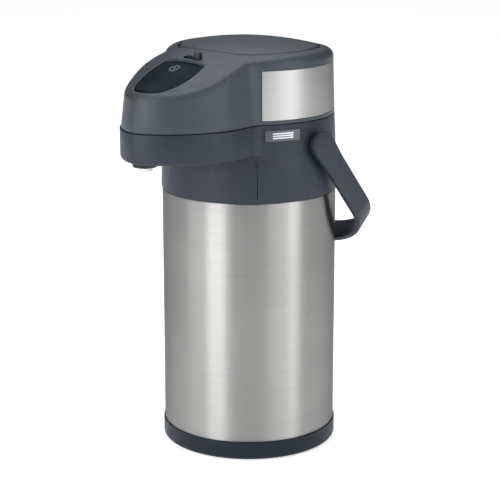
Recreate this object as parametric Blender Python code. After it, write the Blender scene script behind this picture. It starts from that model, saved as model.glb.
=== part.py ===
"""Thermal coffee airpot: a vacuum jug with a pump lid, a carrying handle and a swivel foot.

Frame: +Z up, origin on the pot's axis at the surface it stands on, spout towards -Y.
Dimensions below are in millimetres; the meshes are made in metres.
"""

import math

import bmesh
import bpy
from mathutils import Matrix, Vector

MM = 0.001
GAP = 0.3  # clearance kept between neighbouring pieces

# Vacuum body and base
BODY_R = 80.0
SHELL_WALL = 1.0
SHELL_BOTTOM_Z = 12.0
SHOULDER_Z = 241.3  # where the steel steps in under the collar
SHOULDER_R = 77.5
VESSEL_R = 73.0
VESSEL_WALL = 0.9
VESSEL_BOTTOM_Z = 19.0
NECK_R = 37.0
NECK_TOP_Z = 280.0
SHELL_NECK_R = 46.0
VESSEL_CORNER_R = 8.0
BASE_R = 81.1
BASE_EDGE_R = 4.0
BASE_BOTTOM_Z = 0.8
BASE_BORE_R = 3.4  # the swivel screw passes here
FOOT_WELL_R = 72.5
BASE_TOP_Z = 18.3
BASE_FLOOR_Z = 8.3
FOOT_R = 70.0

# Head plan: a circle with a spout beak towards -Y
COLLAR_R = 79.4
SEAM_R = 78.3
LID_TOP_R = 76.8
BEAK_HALF_WIDTH = 57.5
BEAK_REACH = 152.5
BEAK_NOSE_START = 83.5
BEAK_NOSE_POWER = 1.65
BEAK_BLEND_R = 8.0

# Head heights
COLLAR_BOTTOM_Z = 241.6
COLLAR_FOOT_R = 80.9
CORE_STEP_Z = 251.0  # the collar grips the shell's shoulder up to here
CORE_WIDE_Z = 257.0
BEAK_UNDERSIDE_Z = 284.2
PANEL_HALF_ANGLE = 46.0  # degrees from the spout direction
SEAM_Z = 311.0
RIDGE_TOP_Z = 371.0
RIDGE_NOSE_Z = 344.2
RIDGE_REAR_DROP = 3.5
RIDGE_FALL_Y = 90.0  # the slope's middle, measured towards the nose
RIDGE_FALL_SOFTNESS = 16.0
CROWN = 7.3
BEAK_BULGE = 4.0  # extra crown under the lever
BEAK_BULGE_Y = 110.0
LID_LEAN_LOW = 1.2  # how far the beak of the lid lies inside the collar's, at its foot
LID_LEAN_HIGH = 4.6  # and at the top of its wall
LID_EDGE_R = 8.0
HEAD_WALL = 2.6
BAND_BOTTOM_Z = 315.0
BAND_TOP_Z = 358.5
BAND_DEPTH = 1.3
BAND_FRONT_ANGLE = 49.5  # degrees from the spout direction

# Moving pieces
LID_AXIS = (84.0, 312.0)  # y, z
KNUCKLE_R = 4.5
KNUCKLE_HALF = 14.2  # the lid's knuckle, along X
EAR_X = (14.6, 24.0)  # the collar's two ears beside it
PIN_R = 1.8
PIN_BORE_R = 2.2
PUSH_AXIS = (56.0, 361.5)
PUSH_R = 63.0
PUSH_GAP = 1.2
PUSH_LUG_X = (42.6, 45.4)
PUSH_TRUNNION_R = 1.5
PUSH_TRUNNION_X = (25.4, 45.0)
LEVER_REAR_Y = -86.0
LEVER_REAR_GAP = 1.4  # room for the rear edge to tip back
LEVER_GAP = 0.6
LEVER_DEPTH = 6.0
LEVER_WELL_DEPTH = 8.5
LEVER_WIDEST_Y = -102.0
LEVER_TIP_Y = -140.0
LEVER_MIDDLE_Y = -108.0
LEVER_REAR_HALF = 22.5
LEVER_HALF_WIDTH = 24.8
LEVER_AXIS_Y = -88.0
LEVER_AXIS_SINK = 4.5  # below the roof's ridge
LEVER_TRUNNION_R = 1.3
LEVER_TRUNNION_END_X = 25.2
LEVER_TAPER = 0.955
HOOK_X = 16.0
HOOK_HALF = 2.5
HOOK_FRONT_Y = -90.5
HOOK_REAR_Y = -86.5
HOOK_TOE_Y = -82.9
HOOK_TOE_Z = (295.4, 299.0)
LOCK_X = 9.0
LOCK_Y = -79.0
LOCK_TRAVEL = 11.0
HANDLE_AXIS_Z = 289.8
HANDLE_TILT = 49.5  # degrees below the horizontal, to the rear
HANDLE_X = 86.9
HANDLE_ARM = 84.0
HANDLE_REACH = 140.0
HANDLE_WIDTH = 22.5
HANDLE_THICKNESS = 5.6
PIVOT_R = 10.0
PIVOT_TIP_R = 5.0
PIVOT_TIP_LENGTH = 3.2

# Pouring line
DIP_Y = -22.0
TUBE_Z = 293.0
TUBE_R = 5.0
TUBE_BEND_R = 6.0
TUBE_END_Z = 286.5
TUBE_WALL = 1.2
DIP_FOOT_Z = 26.0
SPOUT_Y = -137.0
SPOUT_BORE_R = 7.6
CARRIER_Z = 280.8
CARRIER_THICKNESS = 2.4

# Inside the head
DECK_Z = 300.0
DECK_THICKNESS = 2.0
DECK_FRONT_Y = -81.0
MOUTH_HOLE_R = 46.4
LID_BASE_Z = 312.8
LID_BASE_THICKNESS = 2.0
AIR_HOLE_R = 8.0
SCREW_BORE_R = 1.7
SCREWS = ((-52.0, 32.0), (52.0, 32.0), (-32.0, -112.0), (32.0, -112.0))  # x, y
BELLOWS_BOTTOM_Z = 315.1
BELLOWS_TOP_Z = 349.8
BELLOWS_R = 41.0
BELLOWS_FOLD_DEPTH = 7.0
BELLOWS_WALL = 1.2
SPRING_R = 14.0
SPRING_WIRE_R = 0.9

# Badge on the collar's side
BADGE_BOTTOM_Z = 296.6
BADGE_TOP_Z = 306.6
BADGE_MIDDLE = 63.1  # degrees from the spout direction
BADGE_HALF = 12.0

CUT_LOW_Z = 230.0  # cutters for the head run from here, well below it,
CUT_HIGH_Z = 400.0  # to here, well above it

ROUND = 36  # facets round the big turned pieces


# ---------------------------------------------------------------- helpers


def material(name, colour, roughness, metallic=0.0):
    mat = bpy.data.materials.get(name)
    if mat:
        return mat
    mat = bpy.data.materials.new(name)
    mat.use_nodes = True
    shader = mat.node_tree.nodes["Principled BSDF"]
    shader.inputs["Base Color"].default_value = (*colour, 1.0)
    shader.inputs["Roughness"].default_value = roughness
    shader.inputs["Metallic"].default_value = metallic
    mat.diffuse_color = (*colour, 1.0)
    return mat


def slate():
    return material("slate_plastic", (0.070, 0.080, 0.095), 0.45)


def dark():
    return material("dark_plastic", (0.025, 0.034, 0.045), 0.40)


def steel():
    return material("brushed_steel", (0.62, 0.61, 0.59), 0.28, 1.0)


def black():
    return material("black_plastic", (0.012, 0.013, 0.015), 0.5)


def rubber():
    return material("grey_rubber", (0.16, 0.16, 0.16), 0.8)


def silicone():
    return material("white_silicone", (0.75, 0.75, 0.72), 0.55)


def badge_metal():
    return material("badge_metal", (0.10, 0.11, 0.12), 0.35, 0.6)


def finish(bm, name, mat, origin=(0, 0, 0), smooth=35.0):
    """Turns a mesh drawn in world millimetres into an object whose origin is at `origin`."""
    bmesh.ops.recalc_face_normals(bm, faces=bm.faces[:])
    bmesh.ops.translate(bm, vec=-Vector(origin), verts=bm.verts[:])
    bmesh.ops.scale(bm, vec=(MM, MM, MM), verts=bm.verts[:])
    mesh = bpy.data.meshes.new(name)
    bm.to_mesh(mesh)
    bm.free()
    mesh.shade_smooth()
    mesh.set_sharp_from_angle(angle=math.radians(smooth))
    mesh.materials.append(mat)
    obj = bpy.data.objects.new(name, mesh)
    obj.location = Vector(origin) * MM
    bpy.context.scene.collection.objects.link(obj)
    return obj


def loft(rings, closed=False):
    """Bridges equal rings of points; the ends are capped across, or joined when `closed`."""
    bm = bmesh.new()
    loops = [[bm.verts.new(p) for p in ring] for ring in rings]
    count = len(loops[0])
    pairs = list(zip(loops, loops[1:]))
    if closed:
        pairs.append((loops[-1], loops[0]))
    for low, high in pairs:
        for i in range(count):
            j = (i + 1) % count
            bm.faces.new((low[i], low[j], high[j], high[i]))
    if not closed:
        for loop in (loops[0], loops[-1]):
            cap_across(bm, loop)
    return bm


def cap_across(bm, loop):
    """Closes a ring with strips between point i and its mirror image, point -i."""
    count = len(loop)
    half = count // 2
    bm.faces.new((loop[0], loop[1], loop[-1]))
    for i in range(1, half - 1):
        bm.faces.new((loop[i], loop[i + 1], loop[count - i - 1], loop[count - i]))
    bm.faces.new((loop[half - 1], loop[half], loop[half + 1]))


def circle(r, z, count=ROUND, centre=(0.0, 0.0)):
    """A level ring; point 0 is at the rear, and the two sides mirror each other."""
    points = []
    for i in range(count):
        a = 2 * math.pi * i / count
        points.append(Vector((centre[0] + r * math.sin(a), centre[1] + r * math.cos(a), z)))
    return points


def turned(profile, count=ROUND, centre=(0.0, 0.0)):
    """A solid of revolution about a vertical axis.

    `profile` is a closed outline of (r, z). One that starts and ends on the axis (r 0)
    is capped flat there.
    """
    if profile[0][0] == 0:
        rings = [circle(r, z, count, centre) for r, z in profile[1:-1]]
        return loft(rings)
    rings = [circle(r, z, count, centre) for r, z in profile]
    return loft(rings, closed=True)


def arc(cx, cz, r, start, end, steps):
    """Points (x, z) on an arc, angles in degrees, both ends included."""
    turn = [math.radians(start + (end - start) * i / steps) for i in range(steps + 1)]
    return [(cx + r * math.cos(t), cz + r * math.sin(t)) for t in turn]


def partial_ring(profile, start, end, count):
    """A (r, z) outline swept round the axis from `start` to `end` degrees from the spout."""
    rings = []
    for i in range(count + 1):
        a = math.radians(start + (end - start) * i / count)
        rings.append([Vector((r * math.sin(a), -r * math.cos(a), z)) for r, z in profile])
    bm = bmesh.new()
    loops = [[bm.verts.new(p) for p in ring] for ring in rings]
    sides = len(profile)
    for low, high in zip(loops, loops[1:]):
        for i in range(sides):
            j = (i + 1) % sides
            bm.faces.new((low[i], low[j], high[j], high[i]))
    bm.faces.new(loops[0])
    bm.faces.new(list(reversed(loops[-1])))
    return bm


def bar_x(r, y, z, x0, x1, count=16):
    """A round bar along X."""
    rings = []
    for x in (x0, x1):
        angles = [2 * math.pi * i / count for i in range(count)]
        rings.append([Vector((x, y + r * math.sin(a), z + r * math.cos(a))) for a in angles])
    return loft(rings)


def bar_y(r, x, z, y0, y1, count=20):
    """A round bar along Y."""
    rings = []
    for y in (y0, y1):
        angles = [2 * math.pi * i / count for i in range(count)]
        rings.append([Vector((x + r * math.sin(a), y, z + r * math.cos(a))) for a in angles])
    return loft(rings)


def block(x0, x1, y0, y1, z0, z1):
    bm = bmesh.new()
    size = Vector((x1 - x0, y1 - y0, z1 - z0))
    middle = Vector((x0 + x1, y0 + y1, z0 + z1)) / 2
    matrix = Matrix.Translation(middle) @ Matrix.Diagonal((*size, 1.0))
    bmesh.ops.create_cube(bm, size=1.0, matrix=matrix)
    return bm


def pipe(path, r_out, r_in, side=Vector((1, 0, 0)), count=16):
    """A hollow pipe along a path that lies in the plane normal to `side`."""
    outer, inner = [], []
    for i, p in enumerate(path):
        before = path[max(i - 1, 0)]
        after = path[min(i + 1, len(path) - 1)]
        up = side.cross((after - before).normalized())
        for r, rings in ((r_out, outer), (r_in, inner)):
            ring = []
            for k in range(count):
                a = 2 * math.pi * k / count
                ring.append(p + (side * math.cos(a) + up * math.sin(a)) * r)
            rings.append(ring)
    return loft(outer + inner[::-1], closed=True)


def tool(bm, name):
    """A cutter or an adder for a Boolean: kept, but never built as a piece."""
    obj = finish(bm, name, black())
    obj.hide_render = True
    obj.display_type = "WIRE"
    return obj


def boolean(obj, operation, bm, name):
    """Adds a Boolean with a shape given in world millimetres."""
    helper = tool(bm, f"{obj.name}_{name}_tool")
    modifier = obj.modifiers.new(name, "BOOLEAN")
    modifier.operation = operation
    modifier.solver = "EXACT"
    modifier.object = helper


def cut(obj, bm, name):
    boolean(obj, "DIFFERENCE", bm, name)


def join(obj, bm, name):
    boolean(obj, "UNION", bm, name)


def body_empty(name, location):
    """The frame of a moving body, on its joint's axis."""
    empty = bpy.data.objects.new(name, None)
    empty.location = Vector(location) * MM
    bpy.context.scene.collection.objects.link(empty)
    return empty


def ride(obj, parent):
    """Parents an object drawn in world coordinates without moving it."""
    obj.parent = parent
    obj.matrix_parent_inverse = Matrix.Translation(-parent.location)
    return obj


# ---------------------------------------------------------------- head plan and roof


def smoothstep(t):
    t = min(max(t, 0.0), 1.0)
    return t * t * (3 - 2 * t)


def head_outline(circle_r, shrink=0.0, lean=0.0):
    """The head seen from above, rear first, its two sides mirrored, `shrink` inside the face.

    `lean` draws in the beak alone.
    """
    half = BEAK_HALF_WIDTH - lean
    reach = BEAK_REACH - lean
    blend = BEAK_BLEND_R
    centre = Vector((half + blend, -math.sqrt((circle_r + blend) ** 2 - (half + blend) ** 2)))
    touch = math.atan2(centre.x, centre.y)  # from the rear, +Y
    side = [Vector((0.0, circle_r))]
    round_steps = 12
    for i in range(1, round_steps + 1):
        a = touch * i / round_steps
        side.append(Vector((circle_r * math.sin(a), circle_r * math.cos(a))))
    start = math.atan2(-centre.y, -centre.x)
    for i in range(1, 3):
        a = start + (math.pi - start) * i / 2
        side.append(centre + blend * Vector((math.cos(a), math.sin(a))))
    nose_steps = 8
    power = 2 / BEAK_NOSE_POWER
    for i in range(nose_steps + 1):
        a = math.pi / 2 * i / nose_steps
        x = half * max(math.cos(a), 0.0) ** power
        y = -BEAK_NOSE_START - (reach - BEAK_NOSE_START) * math.sin(a) ** power
        side.append(Vector((x if i < nose_steps else 0.0, y)))
    points = side + [Vector((-p.x, p.y)) for p in side[-2:0:-1]]
    if not shrink:
        return points
    moved = []
    for i, p in enumerate(points):
        along = (points[(i + 1) % len(points)] - points[i - 1]).normalized()
        moved.append(p + Vector((along.y, -along.x)) * shrink)
    return moved


def ridge_z(y):
    """Height of the lid's top edge, which falls towards the nose."""
    fall = 1 / (1 + math.exp((-y - RIDGE_FALL_Y) / RIDGE_FALL_SOFTNESS))
    rear = RIDGE_REAR_DROP * (max(y, 0.0) / LID_TOP_R) ** 2
    return RIDGE_NOSE_Z + (RIDGE_TOP_Z - RIDGE_NOSE_Z) * fall - rear


def roof_half_width(y):
    r = LID_TOP_R - LID_EDGE_R
    half = BEAK_HALF_WIDTH - LID_LEAN_HIGH - LID_EDGE_R
    nose = BEAK_REACH - LID_LEAN_HIGH - LID_EDGE_R
    width = math.sqrt(max(r * r - y * y, 0.0))
    if y > 0:
        return width
    if -y <= BEAK_NOSE_START:
        return max(width, half)
    t = min((-y - BEAK_NOSE_START) / (nose - BEAK_NOSE_START), 1.0)
    return half * (1 - t**BEAK_NOSE_POWER) ** (1 / BEAK_NOSE_POWER)


def roof_z(x, y):
    """The lid's crowned top: highest on the axis, level with its edge all round."""
    if y > 0:
        crown = CROWN * (1 - (x * x + y * y) / (LID_TOP_R - LID_EDGE_R) ** 2)
    else:
        across = 1 - (x / max(roof_half_width(y), 1.0)) ** 2
        nose = BEAK_REACH - LID_LEAN_HIGH - LID_EDGE_R
        crown = CROWN * (1 - 0.7 * smoothstep((-y - 60.0) / (nose - 60.0)))
        crown = across * (crown + BEAK_BULGE * math.exp(-(((-y - BEAK_BULGE_Y) / 20.0) ** 2)))
    return ridge_z(y) + max(crown, 0.0)


def level(points, z):
    return [Vector((p.x, p.y, z)) for p in points]


def head_roof_rings(outline_r, edge_r, shrink, lower, steps):
    """Rings from the wall's top over the rounded edge and in across the roof."""
    rings = []
    for i in range(steps + 1):
        a = math.pi / 2 * i / steps
        points = head_outline(outline_r, shrink + edge_r * (1 - math.cos(a)), LID_LEAN_HIGH)
        drop = edge_r * (1 - math.sin(a)) + lower
        rings.append([Vector((p.x, p.y, ridge_z(p.y) - drop)) for p in points])
    edge = head_outline(outline_r, shrink + edge_r, LID_LEAN_HIGH)
    for inward in (0.35, 0.7, 0.93):
        ring = []
        for p in edge:
            q = Vector((p.x * (1 - inward), p.y - math.copysign(min(abs(p.y), 6.0), p.y) * inward))
            ring.append(Vector((q.x, q.y, roof_z(q.x, q.y) - lower)))
        rings.append(ring)
    return rings


# ---------------------------------------------------------------- vacuum body


def outer_shell():
    wall = SHELL_WALL
    r = BODY_R
    neck = SHELL_NECK_R
    bottom = SHELL_BOTTOM_Z
    outside = arc(r - 3.5, bottom + 3.5, 3.5, -90, 0, 2)
    outside += [(r, SHOULDER_Z - 0.8), (r - 0.6, SHOULDER_Z), (SHOULDER_R, SHOULDER_Z)]
    outside += [(SHOULDER_R, 250.0), (72.0, 257.5), (neck, 264.6)]
    inside = [(neck, 263.6), (71.4, 256.6), (SHOULDER_R - wall, 249.6)]
    inside += [(SHOULDER_R - wall, 242.0), (r - wall, 239.0)]
    inside += arc(r - 3.5, bottom + 3.5, 3.5 - wall, 0, -90, 2)
    profile = [(0, bottom)] + outside + inside + [(0, bottom + wall)]
    return finish(turned(profile), "outer_shell", steel())


def inner_vessel():
    r, wall, neck = VESSEL_R, VESSEL_WALL, NECK_R
    bottom = VESSEL_BOTTOM_Z
    corner = VESSEL_CORNER_R
    outside = arc(r - corner, bottom + corner, corner, -90, 0, 2)
    outside += [(r, 224.0), (68.5, 239.0), (55.0, 252.0), (neck + 1, 262.5)]
    outside += [(neck, 267.0), (neck, 278.8), (neck + 1.3, NECK_TOP_Z - 0.4)]
    outside += [(neck + 0.6, NECK_TOP_Z)]
    inside = [(neck - wall, NECK_TOP_Z), (neck - wall, 266.6), (neck, 261.9)]
    inside += [(54.4, 251.3), (67.7, 238.6), (r - wall, 223.8)]
    inside += arc(r - corner, bottom + corner, corner - wall, 0, -90, 2)
    profile = [(0, bottom)] + outside + inside + [(0, bottom + wall)]
    return finish(turned(profile, 28), "inner_vessel", steel())


def base_cover():
    r = BASE_R
    rim = BODY_R + GAP
    edge = BASE_EDGE_R
    top = BASE_FLOOR_Z + 2.1
    profile = [(BASE_BORE_R, BASE_FLOOR_Z), (FOOT_WELL_R, BASE_FLOOR_Z)]
    profile += [(FOOT_WELL_R, BASE_BOTTOM_Z)]
    profile += arc(r - edge, BASE_BOTTOM_Z + edge, edge, -90, 0, 4)
    profile += [(r, BASE_TOP_Z - 0.8), (r - 0.6, BASE_TOP_Z), (rim, BASE_TOP_Z)]
    profile += [(rim, SHELL_BOTTOM_Z - 0.1), (rim - 3.0, top), (BASE_BORE_R, top)]
    return finish(turned(profile), "base_cover", dark())


def swivel_screw():
    head_r, shank_r = 7.0, BASE_BORE_R - 0.4
    low, shoulder, top = 3.0, 4.6, 11.2
    profile = [(0, low), (head_r, low), (head_r, shoulder), (shank_r, shoulder)]
    profile += [(shank_r, top), (0, top)]
    return finish(turned(profile, 16), "swivel_screw", steel())


def turntable_plate():
    low, web, top = 2.3, 6.4, BASE_FLOOR_Z - GAP
    screw_seat, screw_well_r, hub_r = 4.9, 8.0, 12.0
    profile = [(BASE_BORE_R, screw_seat), (screw_well_r, screw_seat), (screw_well_r, low)]
    profile += [(FOOT_R - 1, low), (FOOT_R, low + 0.7), (FOOT_R, web), (hub_r, web)]
    profile += [(hub_r, top), (BASE_BORE_R, top)]
    return finish(turned(profile, 28), "turntable_plate", black())


def turntable_pad():
    r = FOOT_R - 4
    profile = [(0, 0), (r - 0.6, 0), (r, 0.6), (r, 2.0), (0, 2.0)]
    return finish(turned(profile, 28), "turntable_pad", rubber())


# ---------------------------------------------------------------- collar


def collar_core():
    """The hollow inside the collar, round the neck of the vessel."""
    clear = SHOULDER_R + GAP
    inner = SEAM_R - HEAD_WALL
    profile = [(0, CUT_LOW_Z), (clear, CUT_LOW_Z), (clear, CORE_STEP_Z), (inner, CORE_WIDE_Z)]
    profile += [(inner, CUT_HIGH_Z), (0, CUT_HIGH_Z)]
    return turned(profile)


def collar_housing():
    skirt_top = BEAK_UNDERSIDE_Z + 4
    edge = 0.6
    profile = [(0, COLLAR_BOTTOM_Z), (COLLAR_FOOT_R - edge, COLLAR_BOTTOM_Z)]
    profile += [(COLLAR_FOOT_R, COLLAR_BOTTOM_Z + edge)]
    profile += [(COLLAR_R + 0.1, BEAK_UNDERSIDE_Z - 0.4)]
    profile += [(COLLAR_R - 0.5, skirt_top), (0, skirt_top)]
    obj = finish(turned(profile), "collar_housing", slate())
    join(obj, beak_trough(0.0, BEAK_UNDERSIDE_Z, SEAM_Z, 3.0), "beak")
    for side in (-1, 1):
        ear = sorted(side * x for x in EAR_X)
        join(obj, block(*ear, 75.0, LID_AXIS[0], 304.0, SEAM_Z - 0.2), f"ear_{ear[0]:.0f}")
        join(obj, bar_x(KNUCKLE_R, *LID_AXIS, *ear), f"knuckle_{ear[0]:.0f}")
    cut(obj, collar_core(), "core")
    cut(obj, beak_trough(HEAD_WALL, BEAK_UNDERSIDE_Z + 2.5, SEAM_Z + 19.0, 0.0), "trough")
    cut(obj, front_wedge(), "front")
    cut(obj, bar_x(PIN_BORE_R, *LID_AXIS, -40.0, 40.0), "pin")
    low, high = BEAK_UNDERSIDE_Z - 14.0, BEAK_UNDERSIDE_Z + 16.0
    spout = [(0, low), (SPOUT_BORE_R, low), (SPOUT_BORE_R, high), (0, high)]
    cut(obj, turned(spout, 24, (0.0, SPOUT_Y)), "spout")
    return obj


def beak_trough(shrink, bottom, top, edge):
    """The head's plan from `bottom` to `top`; the beak's lower edge is rounded by `edge`."""
    rings = []
    steps = 3 if edge else 0
    for i in range(steps + 1):
        turn = math.pi / 2 * (1 - i / steps) if steps else 0.0
        inset = edge * (1 - math.cos(turn))
        rise = edge * (1 - math.sin(turn))
        base = head_outline(COLLAR_R, shrink)
        small = head_outline(COLLAR_R, shrink + inset)
        ring = []
        for outer, inner in zip(base, small):
            t = smoothstep((-outer.y - 45.0) / 20.0)
            p = outer.lerp(inner, t)
            ring.append(Vector((p.x, p.y, bottom + rise * (t if i < steps else 1.0))))
        rings.append(ring)
    rings.append(level(head_outline(SEAM_R, shrink), top))
    return loft(rings)


def front_wedge():
    """The window in the collar's skirt under the beak, filled by the front panel."""
    top = BEAK_UNDERSIDE_Z - 0.4
    inner, outer = BODY_R - 10.0, BODY_R + 15.0
    profile = [(inner, CUT_LOW_Z), (outer, CUT_LOW_Z), (outer, top), (inner, top)]
    half = PANEL_HALF_ANGLE + 0.4
    return partial_ring(profile, -half, half, 16)


def front_panel():
    inner = SHOULDER_R + GAP
    bottom, top = COLLAR_BOTTOM_Z, BEAK_UNDERSIDE_Z - 0.7
    face, upper, edge = COLLAR_FOOT_R - 0.2, COLLAR_R - 0.1, 0.4
    back = upper - HEAD_WALL
    profile = [(inner, bottom), (face - edge, bottom), (face, bottom + edge), (upper, top)]
    profile += [(back, top), (back, CORE_WIDE_Z), (inner, CORE_STEP_Z)]
    half = PANEL_HALF_ANGLE
    return finish(partial_ring(profile, -half, half, 16), "front_panel", slate())


def collar_deck():
    """The floor inside the collar, open round the mouth and in the beak."""
    outline = head_outline(SEAM_R, HEAD_WALL + 0.5)
    low, high = DECK_Z, DECK_Z + DECK_THICKNESS
    obj = finish(loft([level(outline, low), level(outline, high)]), "collar_deck", slate())
    hole = [(0, low - 5), (MOUTH_HOLE_R, low - 5), (MOUTH_HOLE_R, high + 5), (0, high + 5)]
    cut(obj, turned(hole, 32), "mouth")
    cut(obj, block(-70.0, 70.0, -160.0, DECK_FRONT_Y, low - 5, high + 5), "beak")
    return obj


def neck_ring():
    """A funnel from the vessel's lip up to the gasket, with a flange on the shell."""
    lip_r, mouth_r, wall_r, flange_r = NECK_R - 1.4, 41.0, 46.0, 60.0
    low, flange, seat, top = 265.4, 270.0, NECK_TOP_Z + 0.5, DECK_Z + 3.0
    profile = [(lip_r, seat), (lip_r, seat + 3), (mouth_r, top - 3), (mouth_r, top)]
    profile += [(wall_r, top), (wall_r, flange), (flange_r, flange), (flange_r, low)]
    profile += [(NECK_R + 2, low), (NECK_R + 2, seat)]
    obj = finish(turned(profile, 28), "neck_ring", black())
    cut(obj, bar_y(TUBE_R + 0.4, 0.0, TUBE_Z, -60.0, -25.0), "tube")
    return obj


def tube_carrier():
    """The web across the front of the mouth that holds the dip tube."""
    low, high = CARRIER_Z, CARRIER_Z + CARRIER_THICKNESS
    r, bore_r, rear_y = NECK_R - 1.8, 4.4, -12.0
    profile = [(0, low), (r, low), (r, high), (0, high)]
    obj = finish(turned(profile, 32), "tube_carrier", black())
    cut(obj, block(-r - 10, r + 10, rear_y, r + 10, low - 5, high + 5), "rear")
    hole = [(0, low - 5), (bore_r, low - 5), (bore_r, high + 5), (0, high + 5)]
    cut(obj, turned(hole, 16, (0.0, DIP_Y)), "tube")
    return obj


def dip_tube():
    r_in, r_out = 3.0, 4.0
    low, high = DIP_FOOT_Z, TUBE_END_Z - GAP
    profile = [(r_in, low), (r_out, low), (r_out, high), (r_in, high)]
    return finish(turned(profile, 16, (0.0, DIP_Y)), "dip_tube", steel())


def discharge_tube():
    """From the dip tube's top, forward through the neck ring, and down to the spout."""
    r = TUBE_BEND_R
    path = [(DIP_Y, TUBE_END_Z)] + arc(DIP_Y - r, TUBE_Z - r, r, 0, 90, 3)
    path += arc(SPOUT_Y + r, TUBE_Z - r, r, 90, 180, 3) + [(SPOUT_Y, TUBE_END_Z)]
    points = [Vector((0.0, y, z)) for y, z in path]
    return finish(pipe(points, TUBE_R, TUBE_R - TUBE_WALL, count=12), "discharge_tube", silicone())


def nozzle_ring():
    r_in, r_out, edge = 7.0, 11.0, 0.8
    top = BEAK_UNDERSIDE_Z - GAP
    low = top - 3.5
    profile = [(r_in, top), (r_in, low), (r_out - edge, low), (r_out, low + edge)]
    profile += [(r_out, top)]
    return finish(turned(profile, 24, (0.0, SPOUT_Y)), "nozzle_ring", black())


def spout_tip():
    r_in, r_out, edge = 4.6, 6.5, 0.5
    low, high = 276.4, TUBE_END_Z - 0.5
    profile = [(r_in, high), (r_in, low), (r_out - edge, low), (r_out, low + edge)]
    profile += [(r_out, high)]
    return finish(turned(profile, 16, (0.0, SPOUT_Y)), "spout_tip", silicone())


def badge_plate():
    """A plain plate on the collar's side, with no marking."""
    low, high = BADGE_BOTTOM_Z, BADGE_TOP_Z
    back, face = COLLAR_R - 0.2, COLLAR_R + 0.5
    profile = [(back, low), (face, low + 0.2), (face, high - 0.2), (back, high)]
    start, end = BADGE_MIDDLE - BADGE_HALF, BADGE_MIDDLE + BADGE_HALF
    return finish(partial_ring(profile, start, end, 8), "badge_plate", badge_metal())


def lid_hinge_pin():
    y, z = LID_AXIS
    end = EAR_X[1] - 0.4
    return finish(bar_x(PIN_R, y, z, -end, end), "lid_hinge_pin", steel())


# ---------------------------------------------------------------- handle


def handle_strap():
    """A bail of flat strap: round ends, straight arms and an elliptical bow."""
    tilt = math.radians(HANDLE_TILT)
    out = Vector((0.0, math.cos(tilt), -math.sin(tilt)))  # from the pivot towards the bow
    wide = Vector((0.0, math.sin(tilt), math.cos(tilt)))
    pivot = Vector((0.0, 0.0, HANDLE_AXIS_Z))
    round_r = HANDLE_WIDTH / 2 + 1.5
    stations = []  # x, s, direction, half width
    for i in range(1, 5):
        a = math.pi / 2 * i / 5
        s = -round_r * math.cos(a)
        stations.append((HANDLE_X, s, Vector((0.0, 1.0)), round_r * math.sin(a)))
    stations.append((HANDLE_X, 0.0, Vector((0.0, 1.0)), round_r))
    stations.append((HANDLE_X, HANDLE_ARM * 0.5, Vector((0.0, 1.0)), HANDLE_WIDTH / 2))
    bow_steps = 9
    depth = HANDLE_REACH - HANDLE_ARM
    for i in range(bow_steps + 1):
        a = math.pi / 2 * i / bow_steps
        x, s = HANDLE_X * math.cos(a), HANDLE_ARM + depth * math.sin(a)
        along = Vector((-HANDLE_X * math.sin(a), depth * math.cos(a))).normalized()
        half = HANDLE_WIDTH / 2
        stations.append((x if i < bow_steps else 0.0, s, along, half))
    mirrored = [(-x, s, Vector((d.x, -d.y)), h) for x, s, d, h in stations[-2::-1]]
    rings = []
    thick = HANDLE_THICKNESS / 2
    bevel = 1.4
    for x, s, along, half in stations + mirrored:
        middle = pivot + Vector((x, 0, 0)) + out * s
        normal = Vector((along.y, 0, 0)) + out * -along.x
        chamfer = min(bevel, half * 0.4)
        section = [(half, chamfer - thick), (half, thick - chamfer), (half - chamfer, thick)]
        section += [(chamfer - half, thick), (-half, thick - chamfer), (-half, chamfer - thick)]
        section += [(chamfer - half, -thick), (half - chamfer, -thick)]
        rings.append([middle + wide * w + normal * t for w, t in section])
    bm = bmesh.new()
    loops = [[bm.verts.new(p) for p in ring] for ring in rings]
    for low, high in zip(loops, loops[1:]):
        for i in range(8):
            j = (i + 1) % 8
            bm.faces.new((low[i], low[j], high[j], high[i]))
    bm.faces.new(loops[0])
    bm.faces.new(loops[-1][::-1])
    obj = finish(bm, "handle_strap", slate(), (0.0, 0.0, HANDLE_AXIS_Z))
    inner = HANDLE_X - thick
    for side in (-1, 1):
        x = sorted((side * (inner - 3.0), side * (inner + PIVOT_TIP_LENGTH + 0.4)))
        cut(obj, bar_x(PIVOT_TIP_R + 0.4, 0.0, HANDLE_AXIS_Z, *x), f"socket_{side}")
    return obj


def handle_pivot(side, name):
    """A stepped pin on the collar's side, with its tip in the strap's socket."""
    inner = HANDLE_X - HANDLE_THICKNESS / 2
    seat, foot = inner - GAP, COLLAR_R + 0.4
    steps = ((foot, PIVOT_R), (seat, PIVOT_R), (seat, PIVOT_TIP_R))
    steps += ((inner + PIVOT_TIP_LENGTH, PIVOT_TIP_R),)
    rings = []
    for x, r in steps:
        ring = []
        for i in range(20):
            a = 2 * math.pi * i / 20
            ring.append(Vector((side * x, r * math.sin(a), HANDLE_AXIS_Z + r * math.cos(a))))
        rings.append(ring)
    return finish(loft(rings), name, black())


# ---------------------------------------------------------------- lid


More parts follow.
